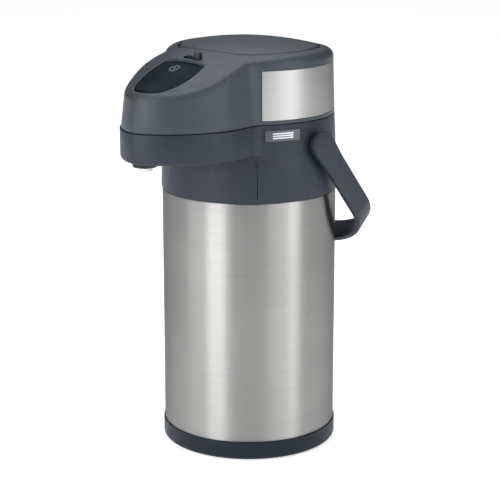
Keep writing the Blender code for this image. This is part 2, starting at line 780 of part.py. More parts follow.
def lid_shell():
    foot = SEAM_Z + 0.5
    low = LID_LEAN_LOW
    outer = [level(head_outline(SEAM_R, 0.5, low), foot)]
    outer += [level(head_outline(SEAM_R, 0.1, low), foot + 0.6)]
    outer += head_roof_rings(LID_TOP_R, LID_EDGE_R, 0.0, 0.0, 4)
    wall = HEAD_WALL
    inner_edge = LID_EDGE_R - wall
    inner = [level(head_outline(SEAM_R, wall, low), foot)]
    ceiling = head_roof_rings(LID_TOP_R, inner_edge, wall, wall, 2)
    inner += [thick_under_beak(ring) for ring in ceiling]
    obj = finish(shell_between(outer, inner), "lid_shell", slate(), (0.0, *LID_AXIS))
    cut(obj, band_solid(-BAND_DEPTH, 0.3, 5.0, 0.5), "band")
    low, well_r = 330.0, PUSH_R + PUSH_GAP
    well = [(0, low), (well_r, low), (well_r, CUT_HIGH_Z), (0, CUT_HIGH_Z)]
    cut(obj, turned(well), "push_well")
    for side in (-1, 1):
        x = sorted(side * x for x in PUSH_LUG_X)
        join(obj, block(*x, 52.0, 60.0, 357.0, 365.2), f"lug_{side}")
        clear = HOOK_HALF + 0.7
        hook = sorted((side * (HOOK_X - clear), side * (HOOK_X + clear)))
        cut(obj, block(*hook, HOOK_FRONT_Y - 7.0, HOOK_REAR_Y + 2.0, low, low + 36), f"hook_{side}")
    cut(obj, bar_x(PUSH_TRUNNION_R + GAP, *PUSH_AXIS, -46.0, 46.0), "push_pin")
    well = LEVER_GAP, LEVER_REAR_Y + LEVER_REAR_GAP
    cut(obj, lever_solid(*well, LEVER_WELL_DEPTH, -8.0), "lever_well")
    end = LEVER_TRUNNION_END_X + 0.8
    bore_r = LEVER_TRUNNION_R + 0.4
    cut(obj, bar_x(bore_r, LEVER_AXIS_Y, lever_axis_z(), -end, end), "trunnion")
    top = roof_z(0.0, LOCK_Y)
    reach = (LOCK_X - LOCK_TRAVEL - 4.8, LOCK_X + 4.8)
    cut(obj, block(*reach, LOCK_Y - 2.4, LOCK_Y + 2.4, top - 4.5, top + 6), "slot")
    join(obj, bar_x(KNUCKLE_R, *LID_AXIS, -KNUCKLE_HALF, KNUCKLE_HALF), "knuckle")
    web = (-KNUCKLE_HALF, KNUCKLE_HALF, LID_TOP_R - 0.2, LID_AXIS[0], SEAM_Z + 0.8, SEAM_Z + 3.4)
    join(obj, block(*web), "web")
    cut(obj, bar_x(PIN_BORE_R, *LID_AXIS, -20.0, 20.0), "pin")
    return obj


def thick_under_beak(ring):
    """Lowers the ceiling in the beak, where the lid carries the lever and the lock."""
    return [p - Vector((0, 0, 8.6 * smoothstep((-p.y - 56.0) / 8.0))) for p in ring]


def shell_between(outer, inner):
    """A shell open at its foot: outer and inner rings, both listed from the foot up."""
    bm = bmesh.new()
    outer_loops = [[bm.verts.new(p) for p in ring] for ring in outer]
    inner_loops = [[bm.verts.new(p) for p in ring] for ring in inner]
    order = outer_loops[::-1] + inner_loops
    count = len(order[0])
    for low, high in zip(order, order[1:]):
        for i in range(count):
            j = (i + 1) % count
            bm.faces.new((low[i], low[j], high[j], high[i]))
    cap_across(bm, outer_loops[-1])
    cap_across(bm, inner_loops[-1])
    return bm


def band_radius(z):
    """The lid's wall leans in towards its top."""
    return SEAM_R - 0.1 + (LID_TOP_R - SEAM_R) * (z - SEAM_Z) / (BAND_TOP_Z - SEAM_Z)


def band_solid(inside, spread, outside, angle):
    """The steel band's ring, or with margins the recess it lies in."""
    low, high = BAND_BOTTOM_Z - spread, BAND_TOP_Z + spread
    profile = [(band_radius(low) + inside, low), (band_radius(low) + outside, low)]
    profile += [(band_radius(high) + outside, high), (band_radius(high) + inside, high)]
    start = BAND_FRONT_ANGLE - angle
    return partial_ring(profile, start, 360 - start, 30)


def lid_band():
    ring = band_solid(GAP - BAND_DEPTH, 0.0, 0.0, 0.0)
    return finish(ring, "lid_band", steel(), (0.0, *LID_AXIS))


def lid_base():
    """The plate that closes the lid's foot and carries the plug and the bellows."""
    outline = head_outline(SEAM_R, HEAD_WALL + 0.9, LID_LEAN_LOW)
    low, high = LID_BASE_Z, LID_BASE_Z + LID_BASE_THICKNESS
    plate = loft([level(outline, low), level(outline, high)])
    obj = finish(plate, "lid_base", black(), (0.0, *LID_AXIS))
    under, over = low - 10.0, high + 10.0
    hole = [(0, under), (AIR_HOLE_R, under), (AIR_HOLE_R, over), (0, over)]
    cut(obj, turned(hole, 24), "air")
    clear, swing = HOOK_HALF + 0.9, 15.0
    for side in (-1, 1):
        x = sorted((side * (HOOK_X - clear), side * (HOOK_X + clear)))
        slot = (*x, HOOK_FRONT_Y - swing, HOOK_REAR_Y + 3.0, under, over)
        cut(obj, block(*slot), f"slot_{side}")
    for i, (x, y) in enumerate(SCREWS):
        bore = [(0, under), (SCREW_BORE_R, under), (SCREW_BORE_R, over), (0, over)]
        cut(obj, turned(bore, 8, (x, y)), f"screw_{i}")
    return obj


def lid_screw(index):
    x, y = SCREWS[index]
    head_r, shank_r = 3.2, 1.4
    low, seat, top = LID_BASE_Z - 2.2, LID_BASE_Z - GAP, LID_BASE_Z + 8.2
    profile = [(0, low), (head_r - 0.6, low), (head_r, low + 0.6), (head_r, seat)]
    profile += [(shank_r, seat), (shank_r, top), (0, top)]
    return finish(turned(profile, 10, (x, y)), f"lid_screw_{index + 1}", steel(), (x, y, top))


def mouth_plug():
    r, edge = 45.0, 1.0
    low, high = 305.6, LID_BASE_Z - GAP
    profile = [(AIR_HOLE_R, low), (r - edge, low), (r, low + edge), (r, high)]
    profile += [(AIR_HOLE_R, high)]
    return finish(turned(profile, 28), "mouth_plug", black(), (0.0, *LID_AXIS))


def mouth_gasket():
    r_in, r_out = 37.0, 45.2
    low, high = DECK_Z + 3.3, 305.3
    profile = [(r_in, high), (r_in, low + 0.7), (r_in + 1.5, low), (r_out - 1.2, low)]
    profile += [(r_out, low + 0.7), (r_out, high)]
    return finish(turned(profile, 28), "mouth_gasket", silicone(), (0.0, *LID_AXIS))


def bellows():
    """Three folds of thin rubber between the lid's base and the bellows cap."""
    folds = 3
    pitch = (BELLOWS_TOP_Z - BELLOWS_BOTTOM_Z) / folds
    outside, inside = [], []
    for i in range(2 * folds + 1):
        z = BELLOWS_BOTTOM_Z + pitch * i / 2
        r = BELLOWS_R if i % 2 else BELLOWS_R - BELLOWS_FOLD_DEPTH
        outside.append((r, z))
        inside.append((r - 2 * BELLOWS_WALL, z))
    bm = turned(outside + inside[::-1], 24)
    return finish(bm, "bellows", rubber(), (0, 0, BELLOWS_BOTTOM_Z), 20.0)


def return_spring():
    """The coil inside the bellows that lifts the push plate again."""
    turns, steps = 4, 9
    low, high = BELLOWS_BOTTOM_Z + 1.3, BELLOWS_TOP_Z - 1.3
    rings = []
    for i in range(turns * steps + 1):
        a = 2 * math.pi * i / steps
        z = low + (high - low) * i / (turns * steps)
        out = Vector((math.cos(a), math.sin(a), 0.0))
        centre = out * SPRING_R + Vector((0, 0, z))
        ring = []
        for k in range(6):
            b = 2 * math.pi * k / 6
            across = out * math.cos(b) + Vector((0, 0, 1)) * math.sin(b)
            ring.append(centre + across * SPRING_WIRE_R)
        rings.append(ring)
    return finish(loft(rings), "return_spring", steel(), (0, 0, BELLOWS_BOTTOM_Z), 50.0)


def bellows_cap():
    disc_r, stem_r = BELLOWS_R - 3.0, 8.0
    low, high, top = BELLOWS_TOP_Z + GAP, BELLOWS_TOP_Z + 3.0, roof_z(0, 0) - 4.2
    profile = [(0, low), (disc_r, low), (disc_r, high), (stem_r + 1, high)]
    profile += [(stem_r, high + 1), (stem_r, top), (0, top)]
    return finish(turned(profile, 28), "bellows_cap", black(), (0, 0, low))


# ---------------------------------------------------------------- push plate, lock, lever


def push_plate():
    """The big round pump button: a crowned dish with a skirt and two trunnions at the rear."""
    skirt_z = 359.5
    wall = 2.4
    edge = 1.2
    outer = [circle(PUSH_R, skirt_z)]
    for r, lower in ((PUSH_R, edge), (PUSH_R - edge, 0.0), (44.0, 0.0), (24.0, 0.0), (5.0, 0.0)):
        outer.append([Vector((p.x, p.y, roof_z(p.x, p.y) - lower)) for p in circle(r, 0)])
    inner = [circle(PUSH_R - wall, skirt_z)]
    for r in (PUSH_R - wall, 34.0, 5.0):
        inner.append([Vector((p.x, p.y, roof_z(p.x, p.y) - wall - 0.6)) for p in circle(r, 0)])
    obj = finish(shell_between(outer, inner), "push_plate", slate(), (0.0, *PUSH_AXIS))
    for side in (-1, 1):
        x = sorted(side * x for x in PUSH_TRUNNION_X)
        join(obj, bar_x(PUSH_TRUNNION_R, *PUSH_AXIS, *x), f"trunnion_{side}")
    return obj


def lever_axis_z():
    return roof_z(0.0, LEVER_AXIS_Y) - LEVER_AXIS_SINK


def lever_outline(grow, rear_y):
    """A shield: straight across the rear, its sides drawing in to a rounded tip."""
    rear, half, corner = LEVER_REAR_HALF + grow, LEVER_HALF_WIDTH + grow, 1.2
    side = [Vector((0.0, rear_y)), Vector((rear * 0.5, rear_y))]
    side += [Vector((rear - corner, rear_y)), Vector((rear, rear_y - corner))]
    steps = 9
    for i in range(steps + 1):
        a = math.pi / 2 * i / steps
        x = half * max(math.cos(a), 0.0)
        y = LEVER_WIDEST_Y + (LEVER_TIP_Y - grow - LEVER_WIDEST_Y) * math.sin(a)
        side.append(Vector((x if i < steps else 0.0, y)))
    return side + [Vector((-p.x, p.y)) for p in side[-2:0:-1]]


def lever_solid(grow, rear_y, depth, sink, taper=1.0):
    """The lever's plan between the roof lowered by `depth` and the roof lowered by `sink`.

    `taper` draws in the foot, so that the tip clears its well as it lifts.
    """

    def ring(lower, scale, across=1.0, along=1.0):
        points = []
        for p in lever_outline(grow, rear_y):
            x, y = p.x * scale, rear_y + (p.y - rear_y) * scale
            x, y = x * across, LEVER_MIDDLE_Y + (y - LEVER_MIDDLE_Y) * along
            points.append(Vector((x, y, roof_z(x, y) - lower)))
        return points

    foot = [ring(depth, taper, 0.55, 0.93), ring(depth, taper)]
    return loft(foot + [ring(sink, 1.0), ring(sink, 1.0, 0.55, 0.93)])


def release_lever():
    """The lid's catch: lifting the tip swings two hooked arms forward, clear of the deck."""
    axis_z = lever_axis_z()
    body = lever_solid(0.0, LEVER_REAR_Y, LEVER_DEPTH, 0.5, LEVER_TAPER)
    obj = finish(body, "release_lever", dark(), (0.0, LEVER_AXIS_Y, axis_z))
    end = LEVER_TRUNNION_END_X
    join(obj, bar_x(LEVER_TRUNNION_R, LEVER_AXIS_Y, axis_z, -end, end), "trunnions")
    low, toe_top = HOOK_TOE_Z
    for side in (-1, 1):
        x = sorted((side * (HOOK_X - HOOK_HALF), side * (HOOK_X + HOOK_HALF)))
        join(obj, block(*x, HOOK_FRONT_Y, HOOK_REAR_Y, low + 0.2, axis_z + 1.0), f"arm_{side}")
        join(obj, block(*x, HOOK_FRONT_Y, HOOK_TOE_Y, low, toe_top), f"toe_{side}")
    return obj


def lever_emblem():
    """A raised plain ring on the lever."""
    y, r_out, r_in = -98.5, 5.6, 3.6
    slope = (roof_z(0, y + 5) - roof_z(0, y - 5)) / 10
    top = roof_z(0, y) + 0.1
    low, high = top - 0.2, top + 0.6
    bm = turned([(r_in, low), (r_out, low), (r_out, high), (r_in, high)], 24, (0.0, y))
    for v in bm.verts:
        v.co.z += (v.co.y - y) * slope
    return finish(bm, "lever_emblem", badge_metal(), (0.0, y, top))


def lock_slider():
    """The travel lock: a ribbed tab on a foot that runs in the slot."""
    top, x, y = roof_z(0.0, LOCK_Y), LOCK_X, LOCK_Y
    stem = block(x - 3.9, x + 3.9, y - 1.9, y + 1.9, top - 4.0, top + 4.6)
    obj = finish(stem, "lock_slider", black(), (x, y, top))
    join(obj, block(x - 3.0, x - 1.0, y - 2.6, y + 2.6, top + 1.0, top + 5.2), "rib_a")
    join(obj, block(x + 1.0, x + 3.0, y - 2.6, y + 2.6, top + 1.0, top + 5.2), "rib_b")
    return obj


# ---------------------------------------------------------------- assembly


def main():
    for obj in list(bpy.data.objects):
        bpy.data.objects.remove(obj, do_unlink=True)

    pot = body_empty("pot_frame", (0, 0, 0))
    fixed = [outer_shell(), inner_vessel(), base_cover(), swivel_screw(), collar_housing()]
    fixed += [front_panel(), collar_deck(), neck_ring(), tube_carrier(), dip_tube()]
    fixed += [discharge_tube(), nozzle_ring(), spout_tip(), badge_plate(), lid_hinge_pin()]
    fixed += [handle_pivot(1, "handle_pivot_near"), handle_pivot(-1, "handle_pivot_far")]
    for obj in fixed:
        ride(obj, pot)

    turntable = body_empty("turntable_frame", (0, 0, 0))
    for obj in (turntable_plate(), turntable_pad()):
        ride(obj, turntable)

    handle = body_empty("handle_frame", (0, 0, HANDLE_AXIS_Z))
    ride(handle_strap(), handle)

    lid = body_empty("lid_frame", (0, *LID_AXIS))
    carried = [lid_shell(), lid_band(), lid_base(), mouth_plug(), mouth_gasket()]
    carried += [bellows(), return_spring()]
    carried += [lid_screw(i) for i in range(len(SCREWS))]
    for obj in carried:
        ride(obj, lid)

    ride(push_plate(), body_empty("push_frame", (0, *PUSH_AXIS)))
    ride(bellows_cap(), body_empty("bellows_cap_frame", (0, 0, BELLOWS_TOP_Z)))
    ride(lock_slider(), body_empty("lock_frame", (LOCK_X, LOCK_Y, roof_z(0, LOCK_Y))))
    lever = body_empty("lever_frame", (0, LEVER_AXIS_Y, lever_axis_z()))
    for obj in (release_lever(), lever_emblem()):
        ride(obj, lever)


main()
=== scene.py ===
"""Looks of the thermal coffee airpot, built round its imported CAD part.

Shapes are drawn in millimetres in the CAD's frame (+Z up, spout towards -Y) and made in metres.
"""

import math

import bmesh
import bpy
from mathutils import Matrix, Vector


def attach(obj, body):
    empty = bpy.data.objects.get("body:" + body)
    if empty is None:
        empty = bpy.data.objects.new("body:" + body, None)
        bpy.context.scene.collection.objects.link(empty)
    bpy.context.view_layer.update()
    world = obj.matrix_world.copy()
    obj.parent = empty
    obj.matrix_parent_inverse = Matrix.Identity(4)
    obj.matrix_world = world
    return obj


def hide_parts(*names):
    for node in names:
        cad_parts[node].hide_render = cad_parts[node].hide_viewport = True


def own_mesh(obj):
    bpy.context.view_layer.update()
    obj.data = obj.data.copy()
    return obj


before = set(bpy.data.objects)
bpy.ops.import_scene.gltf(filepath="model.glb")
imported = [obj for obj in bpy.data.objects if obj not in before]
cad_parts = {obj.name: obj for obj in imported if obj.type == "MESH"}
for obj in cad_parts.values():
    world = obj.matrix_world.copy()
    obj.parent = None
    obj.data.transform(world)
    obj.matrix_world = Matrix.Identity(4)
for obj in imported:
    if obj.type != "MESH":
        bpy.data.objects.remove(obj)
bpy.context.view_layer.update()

MM = 0.001
GAP = 0.3

# Vacuum body and base
BODY_R = 80.0
SHELL_WALL = 1.0
SHELL_BOTTOM_Z = 12.0
SHOULDER_Z = 241.3
SHOULDER_R = 77.5
SHELL_NECK_R = 46.0
VESSEL_R = 73.0
VESSEL_WALL = 0.9
VESSEL_BOTTOM_Z = 19.0
VESSEL_CORNER_R = 8.0
NECK_R = 37.0
NECK_TOP_Z = 280.0
BASE_R = 81.1
BASE_EDGE_R = 4.0
BASE_BOTTOM_Z = 0.8
BASE_BORE_R = 3.4
BASE_TOP_Z = 18.3
BASE_FLOOR_Z = 8.3
FOOT_WELL_R = 72.5
FOOT_R = 70.0

# Head plan and heights
COLLAR_R = 79.4
SEAM_R = 78.3
LID_TOP_R = 76.8
BEAK_HALF_WIDTH = 57.5
BEAK_REACH = 152.5
BEAK_NOSE_START = 83.5
BEAK_NOSE_POWER = 1.65
BEAK_BLEND_R = 20.0
COLLAR_BOTTOM_Z = 241.6
COLLAR_FOOT_R = 80.9
COLLAR_LEAN_Z = 262.0
CORE_STEP_Z = 251.0
CORE_WIDE_Z = 257.0
CORE_TOP_Z = 330.0
BEAK_UNDERSIDE_Z = 284.2
PANEL_HALF_ANGLE = 46.0
PANEL_CORNER_R = 8.0
SEAM_Z = 311.0
RIDGE_TOP_Z = 371.0
RIDGE_NOSE_Z = 344.2
RIDGE_REAR_DROP = 3.5
RIDGE_FALL_Y = 90.0
RIDGE_FALL_SOFTNESS = 16.0
CROWN = 7.3
BEAK_BULGE = 4.0
BEAK_BULGE_Y = 110.0
BEAK_BULGE_LENGTH = 20.0
BEAK_CROWN_Y = 60.0
BEAK_CROWN_LOSS = 0.7
LID_LEAN_LOW = 1.2
LID_LEAN_HIGH = 4.6
LID_EDGE_R = 8.0
HEAD_WALL = 2.6
BAND_BOTTOM_Z = 315.0
BAND_TOP_Z = 358.5
BAND_DEPTH = 1.3
BAND_FRONT_ANGLE = 49.5

# Moving pieces
LID_AXIS = (84.0, 312.0)
KNUCKLE_R = 4.5
KNUCKLE_HALF = 14.2
KNUCKLE_LINK_Y = 76.6
KNUCKLE_LINK_Z = (311.8, 314.4)
EAR_X = (14.6, 24.0)
EAR_FRONT_Y = 75.0
EAR_FOOT_Z = 304.0
PIN_BORE_R = 2.2
PUSH_AXIS = (56.0, 361.5)
PUSH_R = 63.0
PUSH_GAP = 1.2
PUSH_LUG_X = (42.6, 45.4)
PUSH_LUG_Z = (357.0, 365.2)
PUSH_TRUNNION_R = 1.5
PUSH_TRUNNION_X = (25.4, 45.0)
LEVER_REAR_Y = -86.0
LEVER_REAR_GAP = 1.4
LEVER_GAP = 0.6
LEVER_DEPTH = 6.0
LEVER_WELL_DEPTH = 8.5
LEVER_MIDDLE_Y = -108.0
LEVER_WIDEST_Y = -102.0
LEVER_TIP_Y = -140.0
LEVER_REAR_HALF = 22.5
LEVER_HALF_WIDTH = 24.8
LEVER_AXIS_Y = -88.0
LEVER_AXIS_SINK = 4.5
LEVER_TRUNNION_R = 1.3
LEVER_TRUNNION_END_X = 25.2
LEVER_TAPER = 0.955
HOOK_X = 16.0
HOOK_HALF = 2.5
HOOK_FRONT_Y = -90.5
HOOK_REAR_Y = -86.5
HOOK_TOE_Y = -82.9
HOOK_TOE_Z = (295.4, 299.0)
EMBLEM_Y = -98.5
EMBLEM_R = 5.2
EMBLEM_HOLE_R = 3.4
EMBLEM_DOT_R = 1.6
LOCK_X = 9.0
LOCK_Y = -79.0
LOCK_TRAVEL = 11.0
LOCK_HALF = (3.9, 1.9)
LOCK_RIB_HALF = (0.55, 2.6)
LOCK_RIB_PITCH = 2.6
LOCK_SLOT_END = 4.8
LOCK_SLOT_HALF = 3.0
LOCK_SLOT_DEPTH = 4.5
HANDLE_AXIS_Z = 289.8
HANDLE_TILT = 49.5
HANDLE_X = 86.9
HANDLE_ARM = 84.0
HANDLE_REACH = 140.0
HANDLE_WIDTH = 22.5
HANDLE_THICKNESS = 5.6
HANDLE_EDGE = 1.4
HANDLE_END_GROW = 1.5
HANDLE_END_TAPER = 30.0
HANDLE_SOCKET_R = 5.4
HANDLE_SOCKET_DEPTH = 3.6

# Pouring line and inner pieces
TUBE_Z = 293.0
TUBE_R = 5.0
TUBE_END_Z = 286.5
SPOUT_Y = -137.0
SPOUT_BORE_R = 7.6
DECK_Z = 300.0
LID_BASE_Z = 312.8
AIR_HOLE_R = 8.0
BELLOWS_BOTTOM_Z = 315.1
BELLOWS_TOP_Z = 349.8
BELLOWS_R = 41.0
BELLOWS_FOLD_DEPTH = 7.0
BELLOWS_WALL = 1.2
BELLOWS_HEIGHT = BELLOWS_TOP_Z - BELLOWS_BOTTOM_Z
SPRING_R = 14.0
SPRING_WIRE_R = 0.9

# Badge
BADGE_BOTTOM_Z = 296.6
BADGE_TOP_Z = 306.6
BADGE_MIDDLE = 63.1
BADGE_HALF = 12.0
BADGE_BAR_Z = (299.2, 301.2, 303.2)
BADGE_BAR_HEIGHT = 1.1
BADGE_BAR_HALF = 7.0

ROUND = 144


# ------------ camera

CAM_AZIMUTH = 40.91
CAM_ELEVATION = 14.67
CAM_DISTANCE = 1.646
CAM_LENS = 126.8
CAM_AIM = Vector((0.0007, 0.0006, 0.1788))


def outward(azimuth, elevation):
    """Unit vector from the object towards a direction; azimuth 0 is -Y, 90 is +X."""
    a, e = math.radians(azimuth), math.radians(elevation)
    return Vector((math.sin(a) * math.cos(e), -math.cos(a) * math.cos(e), math.sin(e)))


def make_camera():
    cam = bpy.data.cameras.new("camera")
    obj = bpy.data.objects.new("camera", cam)
    bpy.context.scene.collection.objects.link(obj)
    cam.lens = CAM_LENS
    cam.sensor_width = 36.0
    cam.clip_start = 0.05
    cam.clip_end = 100.0
    back = outward(CAM_AZIMUTH, CAM_ELEVATION)
    obj.location = CAM_AIM + back * CAM_DISTANCE
    obj.rotation_euler = (-back).to_track_quat("-Z", "Y").to_euler()
    bpy.context.scene.camera = obj
    bpy.context.scene.view_settings.view_transform = "Standard"


# ------------ materials


def new_material(name):
    mat = bpy.data.materials.new(name)
    mat.use_nodes = True
    tree = mat.node_tree
    return mat, tree, tree.nodes["Principled BSDF"]


def set_inputs(node, values):
    for name, value in values.items():
        node.inputs[name].default_value = value


def noise(tree, coords, scale, detail=3.0, roughness=0.55, stretch=None):
    if stretch:
        mapping = tree.nodes.new("ShaderNodeMapping")
        set_inputs(mapping, {"Scale": stretch})
        tree.links.new(coords, mapping.inputs["Vector"])
        coords = mapping.outputs["Vector"]
    made = tree.nodes.new("ShaderNodeTexNoise")
    set_inputs(made, {"Scale": scale, "Detail": detail, "Roughness": roughness})
    tree.links.new(coords, made.inputs["Vector"])
    return made.outputs["Fac"]


def ramp(tree, fac, stops):
    """A colour ramp with stops of (position, colour)."""
    made = tree.nodes.new("ShaderNodeValToRGB")
    elements = made.color_ramp.elements
    while len(elements) < len(stops):
        elements.new(0.5)
    for element, (position, colour) in zip(elements, stops):
        element.position = position
        element.color = (*colour, 1.0)
    tree.links.new(fac, made.inputs["Fac"])
    return made.outputs["Color"]


def spread(tree, fac, low, high, start=0.3, end=0.7):
    """Maps a value from start..end to low..high."""
    made = tree.nodes.new("ShaderNodeMapRange")
    set_inputs(made, {"From Min": start, "From Max": end, "To Min": low, "To Max": high})
    tree.links.new(fac, made.inputs["Value"])
    return made.outputs["Result"]


def combine(tree, operation, first, second):
    made = tree.nodes.new("ShaderNodeMath")
    made.operation = operation
    tree.links.new(first, made.inputs[0])
    tree.links.new(second, made.inputs[1])
    return made.outputs["Value"]


def bump(tree, height, strength, distance, normal=None):
    made = tree.nodes.new("ShaderNodeBump")
    set_inputs(made, {"Strength": strength, "Distance": distance})
    tree.links.new(height, made.inputs["Height"])
    if normal:
        tree.links.new(normal, made.inputs["Normal"])
    return made.outputs["Normal"]


def shade(colour, factor):
    return tuple(min(c * factor, 1.0) for c in colour)


def moulded(name, colour, roughness, grain=0.25, mottle=0.06, specular=0.5):
    """Moulded plastic or rubber: a fine spark-eroded grain, slight mottling and handling marks."""
    mat, tree, shader = new_material(name)
    coords = tree.nodes.new("ShaderNodeTexCoord").outputs["Object"]
    broad = noise(tree, coords, 38.0, 4.0, 0.6)
    tint = ramp(tree, broad, [(0.3, shade(colour, 1 - mottle)), (0.7, shade(colour, 1 + mottle))])
    tree.links.new(tint, shader.inputs["Base Color"])
    smear = noise(tree, coords, 160.0, 5.0, 0.65, (1.0, 1.0, 0.35))
    low, high = roughness - 0.05, roughness + 0.06
    tree.links.new(spread(tree, smear, low, high), shader.inputs["Roughness"])
    fine = noise(tree, coords, 2600.0, 2.0, 0.5)
    waves = noise(tree, coords, 90.0, 2.0, 0.4)
    normal = bump(tree, waves, 0.04, 0.0006)
    normal = bump(tree, fine, grain, 0.00012, normal)
    tree.links.new(normal, shader.inputs["Normal"])
    set_inputs(shader, {"Specular IOR Level": specular})
    return mat


def brushed(name, colour, roughness, anisotropic, line_scale=2400.0):
    """Steel brushed round the pot: hair lines level with the rim, highlights drawn upright."""
    mat, tree, shader = new_material(name)
    coords = tree.nodes.new("ShaderNodeTexCoord").outputs["Object"]
    hair = noise(tree, coords, 1.0, 4.0, 0.7, (26.0, 26.0, line_scale))
    coarse = noise(tree, coords, 1.0, 3.0, 0.6, (7.0, 7.0, 420.0))
    cloud = noise(tree, coords, 14.0, 3.0, 0.5)
    mixed = combine(tree, "ADD", hair, coarse)
    tint = ramp(tree, mixed, [(0.75, shade(colour, 0.97)), (1.0, shade(colour, 1.02))])
    tree.links.new(tint, shader.inputs["Base Color"])
    worn = combine(tree, "MULTIPLY", hair, cloud)
    low, high = roughness - 0.03, roughness + 0.04
    tree.links.new(spread(tree, worn, low, high, 0.12, 0.4), shader.inputs["Roughness"])
    tree.links.new(bump(tree, hair, 0.06, 0.00006), shader.inputs["Normal"])
    set_inputs(shader, {"Metallic": 1.0, "Specular Tint": (0.45, 0.45, 0.46, 1.0)})
    if anisotropic:
        set_inputs(shader, {"Anisotropic": anisotropic, "Anisotropic Rotation": 0.25})
        tangent = tree.nodes.new("ShaderNodeTangent")
        tangent.direction_type = "UV_MAP"
        tangent.uv_map = "round"
        tree.links.new(tangent.outputs["Tangent"], shader.inputs["Tangent"])
    return mat


MATS = {
    "slate": moulded("slate_moulding", (0.016, 0.0225, 0.037), 0.48, 0.25, 0.06, 0.34),
    # The lid's copy of the slate plastic is made lighter: painted light for the lid's top and push
    # plate, lit from above.
    "lid": moulded("lit_slate_moulding", (0.031, 0.0425, 0.054), 0.47, 0.25, 0.05, 0.45),
    "dark": moulded("dark_moulding", (0.002, 0.007, 0.013), 0.42, 0.06, 0.05, 0.05),
    "base": moulded("base_moulding", (0.0065, 0.012, 0.021), 0.48, 0.15, 0.06, 0.20),
    "steel": brushed("brushed_steel", (0.362, 0.360, 0.354), 0.39, 0.95),
    "band": brushed("band_steel", (0.58, 0.58, 0.575), 0.58, 0.80),
    "satin": brushed("satin_steel", (0.55, 0.545, 0.53), 0.28, 0.0, 900.0),
    "black": moulded("black_moulding", (0.010, 0.011, 0.014), 0.45, 0.15, 0.06, 0.3),
    "rubber": moulded("grey_rubber", (0.10, 0.10, 0.10), 0.75, 0.35, 0.10, 0.3),
    "silicone": moulded("milky_silicone", (0.74, 0.74, 0.71), 0.48, 0.05, 0.03, 0.4),
    "badge": brushed("badge_face", (0.10, 0.105, 0.12), 0.38, 0.0, 1500.0),
    "relief": brushed("badge_relief", (0.62, 0.63, 0.65), 0.30, 0.0, 900.0),
    "ring": moulded("ring_moulding", (0.045, 0.057, 0.070), 0.34, 0.05, 0.05, 0.4),
    # The ribs' lighter grey is a painted highlight for their glossy edges.
    "rib": moulded("rib_painted_highlight", (0.055, 0.060, 0.066), 0.30, 0.05, 0.05, 0.5),
}


# ------------ mesh helpers


def finish(bm, name, mat, smooth=32.0, round_uv=False):
    """Makes an object of a mesh drawn in millimetres in the CAD's frame."""
    bmesh.ops.recalc_face_normals(bm, faces=bm.faces[:])
    bmesh.ops.scale(bm, vec=(MM, MM, MM), verts=bm.verts[:])
    if round_uv:
        layer = bm.loops.layers.uv.new("round")
        for face in bm.faces:
            middle = face.calc_center_median()
            base = math.atan2(middle.x, -middle.y)
            for loop in face.loops:
                turn = math.atan2(loop.vert.co.x, -loop.vert.co.y) - base
                turn = (turn + math.pi) % (2 * math.pi) - math.pi
                loop[layer].uv = ((base + turn) / (2 * math.pi), loop.vert.co.z * 2)
    mesh = bpy.data.meshes.new(name)
    bm.to_mesh(mesh)
    bm.free()
    mesh.shade_smooth()
    mesh.set_sharp_from_angle(angle=math.radians(smooth))
    mesh.materials.append(mat)
    obj = bpy.data.objects.new(name, mesh)
    bpy.context.scene.collection.objects.link(obj)
    return obj


def place(obj, body, slot, *nodes):
    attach(obj, body)
    if nodes:
        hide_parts(*nodes)


def carve(obj, steps, smooth=32.0):
    """Applies Booleans of (operation, shape) in order, and cleans up what they leave."""
    helpers = []
    for i, (operation, bm) in enumerate(steps):
        helper = finish(bm, f"{obj.name}_helper_{i}", MATS["black"])
        helper.data.materials.clear()
        modifier = obj.modifiers.new(f"step_{i}", "BOOLEAN")
        modifier.operation = operation
        modifier.solver = "EXACT"
        modifier.object = helper
        helpers.append(helper)
    bpy.context.view_layer.update()
    evaluated = obj.evaluated_get(bpy.context.evaluated_depsgraph_get())
    mesh = bpy.data.meshes.new_from_object(evaluated)
    mats = list(obj.data.materials)
    obj.modifiers.clear()
    obj.data = mesh
    mesh.name = obj.name
    mesh.materials.clear()
    for m in mats:
        mesh.materials.append(m)
    mesh.polygons.foreach_set("material_index", [0] * len(mesh.polygons))
    for helper in helpers:
        bpy.data.objects.remove(helper)
    bm = bmesh.new()
    bm.from_mesh(mesh)
    bmesh.ops.remove_doubles(bm, verts=bm.verts[:], dist=2e-6)
    bmesh.ops.dissolve_degenerate(bm, edges=bm.edges[:], dist=1e-6)
    bm.to_mesh(mesh)
    bm.free()
    mesh.shade_smooth()
    mesh.set_sharp_from_angle(angle=math.radians(smooth))
    return obj


def add(bm):
    """A step for carve that joins a shape on."""
    return "UNION", bm


def cut(bm):
    """A step for carve that takes a shape away."""
    return "DIFFERENCE", bm


def cap_across(bm, loop):
    """Closes a ring with strips between point i and its mirror image, point -i."""
    count = len(loop)
    half = count // 2
    bm.faces.new((loop[0], loop[1], loop[-1]))
    for i in range(1, half - 1):
        bm.faces.new((loop[i], loop[i + 1], loop[count - i - 1], loop[count - i]))
    bm.faces.new((loop[half - 1], loop[half], loop[half + 1]))


def bridge(bm, loops):
    count = len(loops[0])
    for low, high in zip(loops, loops[1:]):
        for i in range(count):
            j = (i + 1) % count
            bm.faces.new((low[i], low[j], high[j], high[i]))


def loft(rings, closed=False):
    bm = bmesh.new()
    loops = [[bm.verts.new(p) for p in ring] for ring in rings]
    bridge(bm, loops + loops[:1] if closed else loops)
    if not closed:
        cap_across(bm, loops[0])
        cap_across(bm, loops[-1])
    return bm


def round_points(r, count=32):
    """Points of a circle round the origin, from its second axis towards its first."""
    angles = [2 * math.pi * i / count for i in range(count)]
    return [(r * math.sin(a), r * math.cos(a)) for a in angles]


